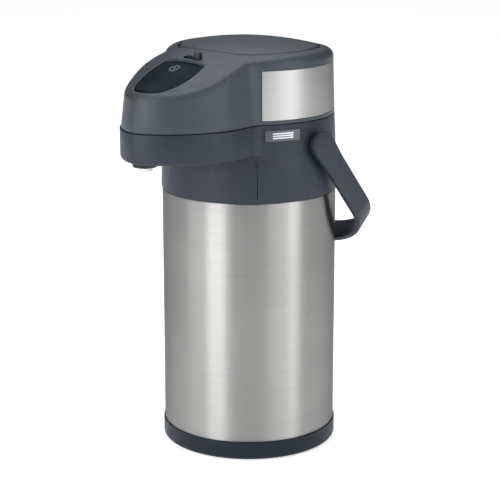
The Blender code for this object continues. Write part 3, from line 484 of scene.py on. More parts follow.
def circle(r, z, count=ROUND, centre=(0.0, 0.0)):
    return [Vector((centre[0] + u, centre[1] + v, z)) for u, v in round_points(r, count)]


def turned(profile, count=ROUND, centre=(0.0, 0.0)):
    """A solid of revolution; a profile that starts and ends at r 0 is capped flat there."""
    if profile[0][0] == 0:
        return loft([circle(r, z, count, centre) for r, z in profile[1:-1]])
    return loft([circle(r, z, count, centre) for r, z in profile], closed=True)


def arc(cx, cz, r, start, end, steps):
    turn = [math.radians(start + (end - start) * i / steps) for i in range(steps + 1)]
    return [(cx + r * math.cos(t), cz + r * math.sin(t)) for t in turn]


def rounded(points, radius, steps=3):
    """A closed (r, z) outline with its corners rounded; `radius` may be a list, one a corner."""
    count = len(points)
    radii = radius if isinstance(radius, (list, tuple)) else [radius] * count
    out = []
    for i, (x, z) in enumerate(points):
        p = Vector((x, z))
        before, after = Vector(points[i - 1]), Vector(points[(i + 1) % count])
        a, b = (before - p), (after - p)
        cut = min(radii[i], a.length * 0.45, b.length * 0.45)
        if cut < 0.02:
            out.append((x, z))
            continue
        start, end = p + a.normalized() * cut, p + b.normalized() * cut
        for k in range(steps + 1):
            t = k / steps
            q = start.lerp(p, t).lerp(p.lerp(end, t), t)
            out.append((q.x, q.y))
    return out


def partial_ring(profile, start, end, count, narrow=None):
    """An (r, z) outline swept round the axis, in degrees from the spout.

    `narrow` gives, for a height, how many millimetres each end draws in.
    """
    bm = bmesh.new()
    loops = []
    for i in range(count + 1):
        loop = []
        for r, z in profile:
            pull = math.degrees(narrow(z) / r) if narrow else 0.0
            low, high = start + pull, end - pull
            a = math.radians(low + (high - low) * i / count)
            loop.append(bm.verts.new((r * math.sin(a), -r * math.cos(a), z)))
        loops.append(loop)
    bridge(bm, loops)
    bm.faces.new(loops[0])
    bm.faces.new(loops[-1][::-1])
    return bm


def bar_x(r, y, z, x0, x1):
    return loft([[Vector((x, y + u, z + v)) for u, v in round_points(r)] for x in (x0, x1)])


def bar_y(r, x, z, y0, y1):
    return loft([[Vector((x + u, y, z + v)) for u, v in round_points(r)] for y in (y0, y1)])


def block(x0, x1, y0, y1, z0, z1, edge=0.0):
    bm = bmesh.new()
    size = Vector((x1 - x0, y1 - y0, z1 - z0))
    middle = Vector((x0 + x1, y0 + y1, z0 + z1)) / 2
    matrix = Matrix.Translation(middle) @ Matrix.Diagonal((*size, 1.0))
    bmesh.ops.create_cube(bm, size=1.0, matrix=matrix)
    if edge:
        bmesh.ops.bevel(bm, geom=bm.edges[:], offset=edge, segments=3, profile=0.5, affect="EDGES")
    return bm


# ------------ head plan and roof


def smoothstep(t):
    t = min(max(t, 0.0), 1.0)
    return t * t * (3 - 2 * t)


def head_outline(circle_r, shrink=0.0, lean=0.0):
    """The head seen from above, rear first, its two sides mirrored, `shrink` inside the face."""
    half = BEAK_HALF_WIDTH - lean
    reach = BEAK_REACH - lean
    blend = BEAK_BLEND_R
    centre = Vector((half + blend, -math.sqrt((circle_r + blend) ** 2 - (half + blend) ** 2)))
    touch = math.atan2(centre.x, centre.y)
    side = [Vector((0.0, circle_r))]
    round_steps = 44
    for i in range(1, round_steps + 1):
        a = touch * i / round_steps
        side.append(Vector((circle_r * math.sin(a), circle_r * math.cos(a))))
    start = math.atan2(-centre.y, -centre.x)
    blend_steps = 6
    for i in range(1, blend_steps + 1):
        a = start + (math.pi - start) * i / blend_steps
        side.append(centre + blend * Vector((math.cos(a), math.sin(a))))
    straight_steps = 5
    top_y = centre.y
    for i in range(1, straight_steps):
        side.append(Vector((half, top_y + (-BEAK_NOSE_START - top_y) * i / straight_steps)))
    nose_steps = 30
    power = 2 / BEAK_NOSE_POWER
    for i in range(nose_steps + 1):
        a = math.pi / 2 * i / nose_steps
        x = half * max(math.cos(a), 0.0) ** power
        y = -BEAK_NOSE_START - (reach - BEAK_NOSE_START) * math.sin(a) ** power
        side.append(Vector((x if i < nose_steps else 0.0, y)))
    points = side + [Vector((-p.x, p.y)) for p in side[-2:0:-1]]
    if not shrink:
        return points
    moved = []
    for i, p in enumerate(points):
        along = (points[(i + 1) % len(points)] - points[i - 1]).normalized()
        moved.append(p + Vector((along.y, -along.x)) * shrink)
    return moved


def ridge_z(y):
    fall = 1 / (1 + math.exp((-y - RIDGE_FALL_Y) / RIDGE_FALL_SOFTNESS))
    rear = RIDGE_REAR_DROP * (max(y, 0.0) / LID_TOP_R) ** 2
    return RIDGE_NOSE_Z + (RIDGE_TOP_Z - RIDGE_NOSE_Z) * fall - rear


def roof_half_width(y):
    r = LID_TOP_R - LID_EDGE_R
    half = BEAK_HALF_WIDTH - LID_LEAN_HIGH - LID_EDGE_R
    nose = BEAK_REACH - LID_LEAN_HIGH - LID_EDGE_R
    width = math.sqrt(max(r * r - y * y, 0.0))
    if y > 0:
        return width
    if -y <= BEAK_NOSE_START:
        return (width**16 + half**16) ** (1 / 16)
    t = min((-y - BEAK_NOSE_START) / (nose - BEAK_NOSE_START), 1.0)
    return half * (1 - t**BEAK_NOSE_POWER) ** (1 / BEAK_NOSE_POWER)


def roof_z(x, y):
    """The lid's crowned top: highest on the axis, level with its edge all round."""
    if y > 0:
        crown = CROWN * (1 - (x * x + y * y) / (LID_TOP_R - LID_EDGE_R) ** 2)
    else:
        across = 1 - (x / max(roof_half_width(y), 1.0)) ** 2
        nose = BEAK_REACH - LID_LEAN_HIGH - LID_EDGE_R
        fade = smoothstep((-y - BEAK_CROWN_Y) / (nose - BEAK_CROWN_Y))
        bulge = BEAK_BULGE * math.exp(-(((-y - BEAK_BULGE_Y) / BEAK_BULGE_LENGTH) ** 2))
        crown = across * (CROWN * (1 - BEAK_CROWN_LOSS * fade) + bulge)
    return ridge_z(y) + max(crown, 0.0)


def level(points, z):
    return [Vector((p.x, p.y, z)) for p in points]


def draped(points, lower):
    """Points laid on the roof, lowered by `lower`."""
    return [Vector((p.x, p.y, roof_z(p.x, p.y) - lower)) for p in points]


def head_roof_rings(outline_r, edge_r, shrink, lower, steps, inner_steps):
    """The lid's rounded edge, then its top, ring by ring towards the middle."""
    rings = []
    for i in range(steps + 1):
        a = math.pi / 2 * i / steps
        points = head_outline(outline_r, shrink + edge_r * (1 - math.cos(a)), LID_LEAN_HIGH)
        drop = edge_r * (1 - math.sin(a)) + lower
        rings.append([Vector((p.x, p.y, ridge_z(p.y) - drop)) for p in points])
    edge = head_outline(outline_r, shrink + edge_r, LID_LEAN_HIGH)
    for i in range(1, inner_steps + 1):
        inward = 0.97 * i / inner_steps
        ring = []
        for p in edge:
            y = p.y - math.copysign(min(abs(p.y), 6.0), p.y) * inward
            ring.append(Vector((p.x * (1 - inward), y, 0.0)))
        rings.append(draped(ring, lower))
    return rings


def shell_between(outer, inner):
    """A shell open at its foot: outer and inner rings, both listed from the foot up."""
    bm = bmesh.new()
    outer_loops = [[bm.verts.new(p) for p in ring] for ring in outer]
    inner_loops = [[bm.verts.new(p) for p in ring] for ring in inner]
    bridge(bm, outer_loops[::-1] + inner_loops)
    cap_across(bm, outer_loops[-1])
    cap_across(bm, inner_loops[-1])
    return bm


# ------------ vacuum body


def outer_shell():
    wall, r, neck, bottom = SHELL_WALL, BODY_R, SHELL_NECK_R, SHELL_BOTTOM_Z
    outside = arc(r - 3.5, bottom + 3.5, 3.5, -90, 0, 8)
    outside += [(r, 60.0), (r, 120.0), (r, 180.0), (r, SHOULDER_Z - 1.2)]
    outside += arc(r - 1.0, SHOULDER_Z - 1.0, 1.0, 0, 90, 6)[1:]
    outside += [(SHOULDER_R, SHOULDER_Z), (SHOULDER_R, 250.0), (72.0, 257.5), (neck, 264.6)]
    inside = [(neck, 263.6), (71.4, 256.6), (SHOULDER_R - wall, 249.6)]
    inside += [(SHOULDER_R - wall, 242.0), (r - wall, 239.0)]
    inside += arc(r - 3.5, bottom + 3.5, 3.5 - wall, 0, -90, 4)
    profile = [(0, bottom)] + outside + inside + [(0, bottom + wall)]
    obj = finish(turned(profile, 192), "shell_steel", MATS["steel"], 32.0, True)
    place(obj, "pot", "steel", "outer_shell")


def inner_vessel():
    r, wall, neck, corner = VESSEL_R, VESSEL_WALL, NECK_R, VESSEL_CORNER_R
    bottom = VESSEL_BOTTOM_Z
    outside = arc(r - corner, bottom + corner, corner, -90, 0, 6)
    outside += [(r, 224.0), (68.5, 239.0), (55.0, 252.0), (neck + 1, 262.5)]
    outside += [(neck, 267.0), (neck, 278.8), (neck + 1.3, NECK_TOP_Z - 0.4)]
    outside += [(neck + 0.6, NECK_TOP_Z)]
    inside = [(neck - wall, NECK_TOP_Z), (neck - wall, 266.6), (neck, 261.9)]
    inside += [(54.4, 251.3), (67.7, 238.6), (r - wall, 223.8)]
    inside += arc(r - corner, bottom + corner, corner - wall, 0, -90, 6)
    profile = [(0, bottom)] + outside + inside + [(0, bottom + wall)]
    obj = finish(turned(profile, 96), "vessel_steel", MATS["satin"])
    place(obj, "pot", "steel", "inner_vessel")


def base_cover():
    r, rim, edge, top = BASE_R, BODY_R + GAP, BASE_EDGE_R, BASE_FLOOR_Z + 2.1
    profile = [(BASE_BORE_R, BASE_FLOOR_Z), (FOOT_WELL_R - 0.8, BASE_FLOOR_Z)]
    profile += [(FOOT_WELL_R, BASE_FLOOR_Z - 0.8), (FOOT_WELL_R, BASE_BOTTOM_Z + 0.4)]
    profile += [(FOOT_WELL_R + 0.5, BASE_BOTTOM_Z)]
    profile += arc(r - edge, BASE_BOTTOM_Z + edge, edge, -90, 0, 12)
    profile += [(r, 10.0), (r, BASE_TOP_Z - 0.7)]
    profile += arc(r - 0.5, BASE_TOP_Z - 0.5, 0.5, 0, 90, 4)
    profile += [(rim, BASE_TOP_Z), (rim, SHELL_BOTTOM_Z - 0.1), (rim - 3.0, top), (BASE_BORE_R, top)]
    obj = finish(turned(profile, 192), "base_ring", MATS["base"])
    place(obj, "pot", "dark", "base_cover")


def foot():
    low, web, top = 2.3, 6.4, BASE_FLOOR_Z - GAP
    seat, well_r, hub_r = 4.9, 8.0, 12.0
    profile = [(BASE_BORE_R, seat), (well_r, seat), (well_r, low), (FOOT_R - 1, low)]
    profile += [(FOOT_R, low + 0.7), (FOOT_R, web - 0.5), (FOOT_R - 0.5, web), (hub_r, web)]
    profile += [(hub_r, top), (BASE_BORE_R, top)]
    plate = finish(turned(profile, 128), "foot_plate", MATS["black"])
    place(plate, "turntable", "black", "turntable_plate")
    r = FOOT_R - 4
    profile = [(0, 0.0), (40.0, 0.0), (40.6, 0.5), (42.4, 0.5), (43.0, 0.0)]
    for ring in (48.0, 53.0, 58.0):
        profile += [(ring, 0.0), (ring + 0.4, 0.5), (ring + 1.2, 0.5), (ring + 1.6, 0.0)]
    profile += [(r - 0.6, 0.0), (r - 0.15, 0.2), (r, 0.6), (r, 1.8), (r - 0.2, 2.0), (0, 2.0)]
    pad = finish(turned(profile, 128), "foot_pad", MATS["rubber"])
    place(pad, "turntable", "rubber", "turntable_pad")


# ------------ collar


def collar_core():
    """What the collar is hollowed by: close round the shell's shoulder, wider above it."""
    clear, inner, low = SHOULDER_R + GAP, SEAM_R - HEAD_WALL, 230.0
    profile = [(0, low), (clear, low), (clear, CORE_STEP_Z), (inner, CORE_WIDE_Z)]
    profile += [(inner, CORE_TOP_Z), (0, CORE_TOP_Z)]
    return turned(profile)


def beak_trough(shrink, bottom, top, edge, lip=0.0):
    """The head's plan from `bottom` to `top`; the beak's lower edge is rounded by `edge`."""
    rings = []
    steps = 6 if edge else 0
    for i in range(steps + 1):
        turn = math.pi / 2 * (1 - i / steps) if steps else 0.0
        inset = edge * (1 - math.cos(turn))
        rise = edge * (1 - math.sin(turn))
        base = head_outline(COLLAR_R, shrink)
        small = head_outline(COLLAR_R, shrink + inset)
        ring = []
        for outer, inner in zip(base, small):
            t = smoothstep((-outer.y - 45.0) / 20.0)
            p = outer.lerp(inner, t)
            ring.append(Vector((p.x, p.y, bottom + rise * (t if i < steps else 1.0))))
        rings.append(ring)
    if lip:
        for i in range(4):
            a = math.pi / 2 * i / 3
            points = head_outline(SEAM_R, shrink + lip * (1 - math.cos(a)))
            rings.append(level(points, top - lip * (1 - math.sin(a))))
    else:
        rings.append(level(head_outline(SEAM_R, shrink), top))
    return loft(rings)


def window_corner(z):
    """How far the window's sides draw in near its top, to round its corners."""
    r = PANEL_CORNER_R
    into = z - (BEAK_UNDERSIDE_Z - 0.4 - r)
    if into <= 0:
        return 0.0
    return r - math.sqrt(max(r * r - min(into, r) ** 2, 0.0))


def window_heights(top):
    """Heights up a rounded corner that ends at `top`."""
    r, steps = PANEL_CORNER_R, 8
    return [top - r + r * math.sin(math.pi / 2 * i / steps) for i in range(steps + 1)]


def front_wedge():
    """Cuts the collar's front window, which front_cover fills."""
    near, far, low = 70.0, 95.0, 235.0
    heights = window_heights(BEAK_UNDERSIDE_Z - 0.4)
    profile = [(near, low), (far, low)] + [(far, z) for z in heights]
    profile += [(near, z) for z in reversed(heights)]
    half = PANEL_HALF_ANGLE + 0.5
    return partial_ring(profile, -half, half, 60, window_corner)


def collar_housing():
    skirt_top = BEAK_UNDERSIDE_Z + 4
    low = COLLAR_BOTTOM_Z
    edge = 0.7
    profile = [(0, low), (COLLAR_FOOT_R - 1.2, low)]
    profile += arc(COLLAR_FOOT_R - edge, low + edge, edge, -90, 0, 4)
    profile += [(COLLAR_FOOT_R - 0.45, COLLAR_LEAN_Z), (COLLAR_R + 0.1, BEAK_UNDERSIDE_Z - 0.4)]
    profile += [(COLLAR_R - 0.5, skirt_top), (0, skirt_top)]
    obj = finish(turned(profile), "collar_body", MATS["slate"])
    steps = [add(beak_trough(0.0, BEAK_UNDERSIDE_Z, SEAM_Z, 3.0, 0.5))]
    for side in (-1, 1):
        ear = sorted(side * x for x in EAR_X)
        steps.append(add(block(*ear, EAR_FRONT_Y, LID_AXIS[0], EAR_FOOT_Z, SEAM_Z - 0.2)))
        steps.append(add(bar_x(KNUCKLE_R, *LID_AXIS, *ear)))
    steps.append(cut(collar_core()))
    steps.append(cut(beak_trough(HEAD_WALL, BEAK_UNDERSIDE_Z + 2.5, CORE_TOP_Z, 0.0)))
    steps.append(cut(front_wedge()))
    steps.append(cut(bar_x(PIN_BORE_R, *LID_AXIS, -40.0, 40.0)))
    low, high = 270.0, 300.0
    spout = [(0, low), (SPOUT_BORE_R, low), (SPOUT_BORE_R, high), (0, high)]
    steps.append(cut(turned(spout, 48, (0.0, SPOUT_Y))))
    place(carve(obj, steps), "pot", "slate", "collar_housing")


def front_panel():
    inner, back_r = SHOULDER_R + GAP, 76.6
    bottom, top = COLLAR_BOTTOM_Z, BEAK_UNDERSIDE_Z - 0.8
    foot, upper, lean_z = COLLAR_FOOT_R - 0.35, COLLAR_R - 0.2, COLLAR_LEAN_Z
    face = [(foot - 0.4, bottom), (foot, bottom + 0.5), (foot - 0.3, lean_z - 4.0)]
    lean = (foot - 0.4 - upper) / (top - lean_z)
    face += [(foot - 0.4 - lean * max(z - lean_z, 0.0), z) for z in window_heights(top)]
    back = [(back_r, z) for z in reversed(window_heights(top))]
    profile = [(inner, bottom)] + face + back + [(back_r, CORE_WIDE_Z), (inner, CORE_STEP_Z)]
    half = PANEL_HALF_ANGLE
    obj = finish(partial_ring(profile, -half, half, 72, window_corner), "front_cover", MATS["slate"])
    place(obj, "pot", "slate", "front_panel")


def nozzle():
    """The black ring under the beak, and the white tip inside it."""
    spout = (0.0, SPOUT_Y)
    top = BEAK_UNDERSIDE_Z - GAP
    low, inner, outer = top - 3.5, 7.0, 11.0
    outline = rounded([(inner, top), (inner, low), (outer, low), (outer, top)], [0.1, 0.5, 1.2, 0.1], 4)
    ring = finish(turned(outline, 64, spout), "nozzle_rim", MATS["black"])
    place(ring, "pot", "black", "nozzle_ring")
    top, low, inner, outer = TUBE_END_Z - 0.5, 276.4, 4.6, 6.5
    outline = rounded([(inner, top), (inner, low), (outer, low), (outer, top)], [0.1, 0.5, 0.9, 0.1], 4)
    tip = finish(turned(outline, 48, spout), "spout_nose", MATS["silicone"])
    place(tip, "pot", "silicone", "spout_tip")


def badge():
    """A plain plate with a raised rim and three plain bars."""
    low, high = BADGE_BOTTOM_Z, BADGE_TOP_Z
    back, face = COLLAR_R - 0.2, COLLAR_R + 0.5
    profile = [(back, low), (face - 0.25, low), (face, low + 0.25)]
    profile += [(face, high - 0.25), (face - 0.25, high), (back, high)]
    start, end = BADGE_MIDDLE - BADGE_HALF, BADGE_MIDDLE + BADGE_HALF
    plate = finish(partial_ring(profile, start, end, 32), "badge_face", MATS["badge"])
    place(plate, "pot", "badge", "badge_plate")
    front = face + 0.22
    start, end = BADGE_MIDDLE - BADGE_BAR_HALF, BADGE_MIDDLE + BADGE_BAR_HALF
    for i, low in enumerate(BADGE_BAR_Z):
        high = low + BADGE_BAR_HEIGHT
        profile = [(face, low), (front - 0.08, low), (front, low + 0.12)]
        profile += [(front, high - 0.12), (front - 0.08, high), (face, high)]
        bar = finish(partial_ring(profile, start, end, 20), f"badge_bar_{i + 1}", MATS["relief"])
        place(bar, "pot", "badge")


# ------------ handle


def handle_strap():
    """A bail of flat strap: round ends, straight arms and an elliptical bow."""
    tilt = math.radians(HANDLE_TILT)
    out = Vector((0.0, math.cos(tilt), -math.sin(tilt)))
    wide = Vector((0.0, math.sin(tilt), math.cos(tilt)))
    pivot = Vector((0.0, 0.0, HANDLE_AXIS_Z))
    round_r = HANDLE_WIDTH / 2 + HANDLE_END_GROW
    stations = []
    round_steps = 12
    for i in range(1, round_steps):
        a = math.pi / 2 * i / round_steps
        stations.append((HANDLE_X, -round_r * math.cos(a), Vector((0.0, 1.0)), round_r * math.sin(a)))
    arm_steps = 14
    for i in range(arm_steps):
        s = HANDLE_ARM * i / arm_steps
        half = HANDLE_WIDTH / 2 + HANDLE_END_GROW * (1 - smoothstep(s / HANDLE_END_TAPER))
        stations.append((HANDLE_X, s, Vector((0.0, 1.0)), half))
    bow_steps = 30
    depth = HANDLE_REACH - HANDLE_ARM
    for i in range(bow_steps + 1):
        a = math.pi / 2 * i / bow_steps
        x, s = HANDLE_X * math.cos(a), HANDLE_ARM + depth * math.sin(a)
        along = Vector((-HANDLE_X * math.sin(a), depth * math.cos(a))).normalized()
        stations.append((x if i < bow_steps else 0.0, s, along, HANDLE_WIDTH / 2))
    mirrored = [(-x, s, Vector((d.x, -d.y)), h) for x, s, d, h in stations[-2::-1]]
    thick = HANDLE_THICKNESS / 2
    bm = bmesh.new()
    loops = []
    for x, s, along, half in stations + mirrored:
        middle = pivot + Vector((x, 0, 0)) + out * s
        normal = Vector((along.y, 0, 0)) + out * -along.x
        section = ((half, -thick), (half, thick), (-half, thick), (-half, -thick))
        loops.append([bm.verts.new(middle + wide * w + normal * t) for w, t in section])
    bridge(bm, loops)
    bm.faces.new(loops[0])
    bm.faces.new(loops[-1][::-1])
    bmesh.ops.recalc_face_normals(bm, faces=bm.faces[:])
    sharp = [e for e in bm.edges if e.calc_face_angle(0.0) > math.radians(50)]
    bmesh.ops.bevel(bm, geom=sharp, offset=HANDLE_EDGE, segments=4, profile=0.5, affect="EDGES")
    obj = finish(bm, "handle_bail", MATS["slate"], 40.0)
    inner = HANDLE_X - thick
    steps = []
    for side in (-1, 1):
        x = sorted((side * (inner - 3.0), side * (inner + HANDLE_SOCKET_DEPTH)))
        steps.append(cut(bar_x(HANDLE_SOCKET_R, 0.0, HANDLE_AXIS_Z, *x)))
    place(carve(obj, steps, 40.0), "handle", "slate", "handle_strap")


# ------------ lid


def push_circle(grow):
    return [Vector((p.x, p.y)) for p in circle(PUSH_R + PUSH_GAP + grow, 0.0)]


def lever_outline(grow, back):
    """A shield: straight across the rear, its sides drawing in to a rounded tip."""
    rear, half = LEVER_REAR_HALF + grow, LEVER_HALF_WIDTH + grow
    side = [Vector((rear * t, back)) for t in (0.0, 0.25, 0.5, 0.75)]
    corner = 1.6
    for i in range(5):
        a = math.pi / 2 * i / 4
        side.append(Vector((rear - corner + corner * math.sin(a), back - corner + corner * math.cos(a))))
    for i in range(1, 5):
        t = i / 5
        y = (back - corner) * (1 - t) + LEVER_WIDEST_Y * t
        side.append(Vector((rear + (half - rear) * math.sin(math.pi / 2 * t), y)))
    steps = 28
    for i in range(steps + 1):
        a = math.pi / 2 * i / steps
        x = half * max(math.cos(a), 0.0)
        y = LEVER_WIDEST_Y + (LEVER_TIP_Y - grow - LEVER_WIDEST_Y) * math.sin(a)
        side.append(Vector((x if i < steps else 0.0, y)))
    return side + [Vector((-p.x, p.y)) for p in side[-2:0:-1]]


def drawn_in(outline, t, centre_y):
    """An outline drawn towards the centre line by the share `t`."""
    return [Vector((p.x * (1 - t), p.y + (centre_y - p.y) * 0.10 * t)) for p in outline]


def inward_rings(outline, lower, count, centre_y):
    """Rings that draw in from an outline towards the centre line, laid on the roof."""
    shares = [0.96 * i / count for i in range(1, count + 1)]
    return [draped(drawn_in(outline, t, centre_y), lower) for t in shares]


def pocket(outline, depth, flare, centre_y):
    """A cutter that follows the roof, its walls upright and its mouth flared."""
    rings = inward_rings(outline(0.0), depth, 6, centre_y)[::-1]
    rings += [draped(outline(0.0), depth)]
    rings += [draped(outline(grow), lower) for lower, grow in flare]
    top = outline(flare[-1][1])
    rings += [draped(top, -8.0)]
    rings += [[Vector((p.x, p.y, p.z + 8.0)) for p in r] for r in inward_rings(top, 0.0, 6, centre_y)]
    return loft(rings)


def slot_outline(half_x, half_y, x, y, steps=8):
    """A level slot with round ends."""
    points = []
    for i in range(steps + 1):
        a = math.pi / 2 * (1 - 2 * i / steps)
        points.append(Vector((x + half_x + half_y * math.cos(a), y + half_y * math.sin(a))))
    points += [Vector((2 * x - p.x, 2 * y - p.y)) for p in points]
    return points


def lock_slot(inset):
    """The slot that the lock's tab runs in, seen from above."""
    half_x = LOCK_TRAVEL / 2 + LOCK_SLOT_END - LOCK_SLOT_HALF
    return slot_outline(half_x, LOCK_SLOT_HALF - inset, LOCK_X - LOCK_TRAVEL / 2, LOCK_Y)


def prism(points, low, high):
    bm = bmesh.new()
    loops = [[bm.verts.new((p.x, p.y, z)) for p in points] for z in (low, high)]
    bridge(bm, loops)
    bm.faces.new(loops[0])
    bm.faces.new(loops[1][::-1])
    return bm


def lever_axis_z():
    return roof_z(0.0, LEVER_AXIS_Y) - LEVER_AXIS_SINK


def lever_well_outline(grow):
    return lever_outline(LEVER_GAP + grow, LEVER_REAR_Y + LEVER_REAR_GAP + grow)


def thick_under_beak(ring):
    """Lowers the lid's ceiling ahead of the push plate, where the lock and the catch are sunk."""
    extra, start, length = 8.6, 56.0, 8.0
    return [p - Vector((0, 0, extra * smoothstep((-p.y - start) / length))) for p in ring]


def lid_shell():
    foot, lean = SEAM_Z + 0.5, LID_LEAN_LOW
    outer = []
    for i in range(4):
        a = math.pi / 2 * i / 3
        inset = 0.1 + 0.5 * (1 - math.sin(a))
        outer.append(level(head_outline(SEAM_R, inset, lean), foot + 0.5 * (1 - math.cos(a))))
    roof = head_roof_rings(LID_TOP_R, LID_EDGE_R, 0.0, 0.0, 12, 26)
    for t in (0.25, 0.5, 0.75):
        outer.append([a.lerp(b, t) for a, b in zip(outer[3], roof[0])])
    outer += roof
    wall = HEAD_WALL
    inner = [level(head_outline(SEAM_R, wall, lean), foot)]
    ceiling = head_roof_rings(LID_TOP_R, LID_EDGE_R - wall, wall, wall, 3, 8)
    inner += [thick_under_beak(ring) for ring in ceiling]
    # Lighter copy of the slate plastic: painted light on the lid, lit from above.
    obj = finish(shell_between(outer, inner), "lid_cover", MATS["lid"])
    steps = [cut(band_solid(-BAND_DEPTH, GAP, 5.0, 0.4, 100))]
    low, high, r = 330.0, 362.0, PUSH_R + PUSH_GAP
    steps.append(cut(turned([(0, low), (r, low), (r, high), (0, high)])))
    flare = ((1.0, 0.0), (0.45, 0.12), (0.12, 0.45), (-0.3, 1.1))
    steps.append(cut(pocket(push_circle, 12.0, flare, 0.0)))
    for side in (-1, 1):
        x = sorted(side * x for x in PUSH_LUG_X)
        steps.append(add(block(*x, PUSH_AXIS[0] - 4.0, PUSH_AXIS[0] + 4.0, *PUSH_LUG_Z)))
        hook = sorted((side * (HOOK_X - HOOK_HALF - 0.7), side * (HOOK_X + HOOK_HALF + 0.7)))
        steps.append(cut(block(*hook, HOOK_FRONT_Y - 7.0, HOOK_REAR_Y + 2.0, low, low + 28.0)))
    end = PUSH_TRUNNION_X[1] + 1.0
    steps.append(cut(bar_x(PUSH_TRUNNION_R + GAP, *PUSH_AXIS, -end, end)))
    flare = ((1.0, 0.0), (0.4, 0.1), (0.1, 0.4), (-0.3, 1.0))
    steps.append(cut(pocket(lever_well_outline, LEVER_WELL_DEPTH, flare, LEVER_MIDDLE_Y)))
    bore_r, end = LEVER_TRUNNION_R + 0.4, LEVER_TRUNNION_END_X + 0.8
    steps.append(cut(bar_x(bore_r, LEVER_AXIS_Y, lever_axis_z(), -end, end)))
    top = roof_z(0.0, LOCK_Y)
    steps.append(cut(prism(lock_slot(0.0), top - LOCK_SLOT_DEPTH, top + 6.0)))
    knuckle = (-KNUCKLE_HALF, KNUCKLE_HALF)
    steps.append(add(bar_x(KNUCKLE_R, *LID_AXIS, *knuckle)))
    steps.append(add(block(*knuckle, KNUCKLE_LINK_Y, LID_AXIS[0], *KNUCKLE_LINK_Z)))
    steps.append(cut(bar_x(PIN_BORE_R, *LID_AXIS, -20.0, 20.0)))
    place(carve(obj, steps), "lid", "slate", "lid_shell")


def band_radius(z):
    return SEAM_R - 0.1 + (LID_TOP_R - SEAM_R) * (z - SEAM_Z) / (BAND_TOP_Z - SEAM_Z)


def band_solid(inside, spread_z, outside, angle, count):
    """The band's room in the lid, from `inside` to `outside` of the lid's face."""
    low, high = BAND_BOTTOM_Z - spread_z, BAND_TOP_Z + spread_z
    profile = [(band_radius(low) + inside, low), (band_radius(low) + outside, low)]
    profile += [(band_radius(high) + outside, high), (band_radius(high) + inside, high)]
    start = BAND_FRONT_ANGLE - angle
    return partial_ring(profile, start, 360 - start, count)


def lid_band():
    low, high = BAND_BOTTOM_Z, BAND_TOP_Z
    inside = GAP - BAND_DEPTH
    corners = [(band_radius(low) + inside, low), (band_radius(low), low)]
    corners += [(band_radius(high), high), (band_radius(high) + inside, high)]
    profile = rounded(corners, [0.05, 0.35, 0.35, 0.05], 3)
    bm = partial_ring(profile, BAND_FRONT_ANGLE, 360 - BAND_FRONT_ANGLE, 140)
    obj = finish(bm, "lid_steel_band", MATS["band"], 32.0, True)
    place(obj, "lid", "steel", "lid_band")


def push_plate():
    """The big round pump button: a crowned dish with a skirt and two trunnions at the rear."""
    skirt_z, wall = 359.5, 2.4
    outer = [circle(PUSH_R, skirt_z)]
    edge, edge_steps = 1.2, 6
    for i in range(edge_steps + 1):
        a = math.pi / 2 * i / edge_steps
        r = PUSH_R - edge * (1 - math.cos(a))
        outer.append(draped(circle(r, 0), edge * (1 - math.sin(a))))
    for i in range(1, 16):
        outer.append(draped(circle((PUSH_R - edge) * (1 - i / 16) + 0.6, 0), 0.0))
    inner = [circle(PUSH_R - wall, skirt_z)]
    for r in (PUSH_R - wall, 48.0, 34.0, 20.0, 5.0):
        inner.append(draped(circle(r, 0), wall + 0.6))
    # Lighter copy of the slate plastic: painted light on the push plate, lit from above.
    obj = finish(shell_between(outer, inner), "pump_button", MATS["lid"])
    steps = []
    for side in (-1, 1):
        x = sorted(side * x for x in PUSH_TRUNNION_X)
        steps.append(add(bar_x(PUSH_TRUNNION_R, *PUSH_AXIS, *x)))
    place(carve(obj, steps), "push_plate", "slate", "push_plate")


def release_lever():
    """The lid's catch: a sunk shield with a soft edge, two trunnions and two hooked arms."""
    sink, edge, rear = 0.5, 0.9, LEVER_REAR_Y
    foot = [Vector((p.x, p.y - rear)) * LEVER_TAPER for p in lever_outline(0.0, rear)]
    foot = [p + Vector((0.0, rear)) for p in foot]
    rings = inward_rings(foot, LEVER_DEPTH, 5, LEVER_MIDDLE_Y)[::-1]
    rings.append(draped(foot, LEVER_DEPTH))
    for i in range(6):
        a = math.pi / 2 * i / 5
        inset = edge * (1 - math.cos(a))
        outline = lever_outline(-inset, rear - inset)
        rings.append(draped(outline, sink + edge * (1 - math.sin(a))))
    top = lever_outline(-edge, rear - edge)
    for i in range(1, 13):
        t = 0.96 * i / 12
        dish = 0.7 * smoothstep(t / 0.3)
        rings.append(draped(drawn_in(top, t, LEVER_MIDDLE_Y), sink + dish))
    obj = finish(loft(rings), "lid_catch", MATS["dark"])
    axis_z, end = lever_axis_z(), LEVER_TRUNNION_END_X
    steps = [add(bar_x(LEVER_TRUNNION_R, LEVER_AXIS_Y, axis_z, -end, end))]
    low, toe_top = HOOK_TOE_Z
    for side in (-1, 1):
        x = sorted((side * (HOOK_X - HOOK_HALF), side * (HOOK_X + HOOK_HALF)))
        steps.append(add(block(*x, HOOK_FRONT_Y, HOOK_REAR_Y, low + 0.2, axis_z + 1.0)))
        steps.append(add(block(*x, HOOK_FRONT_Y, HOOK_TOE_Y, low, toe_top)))
    place(carve(obj, steps), "lever", "dark", "release_lever")


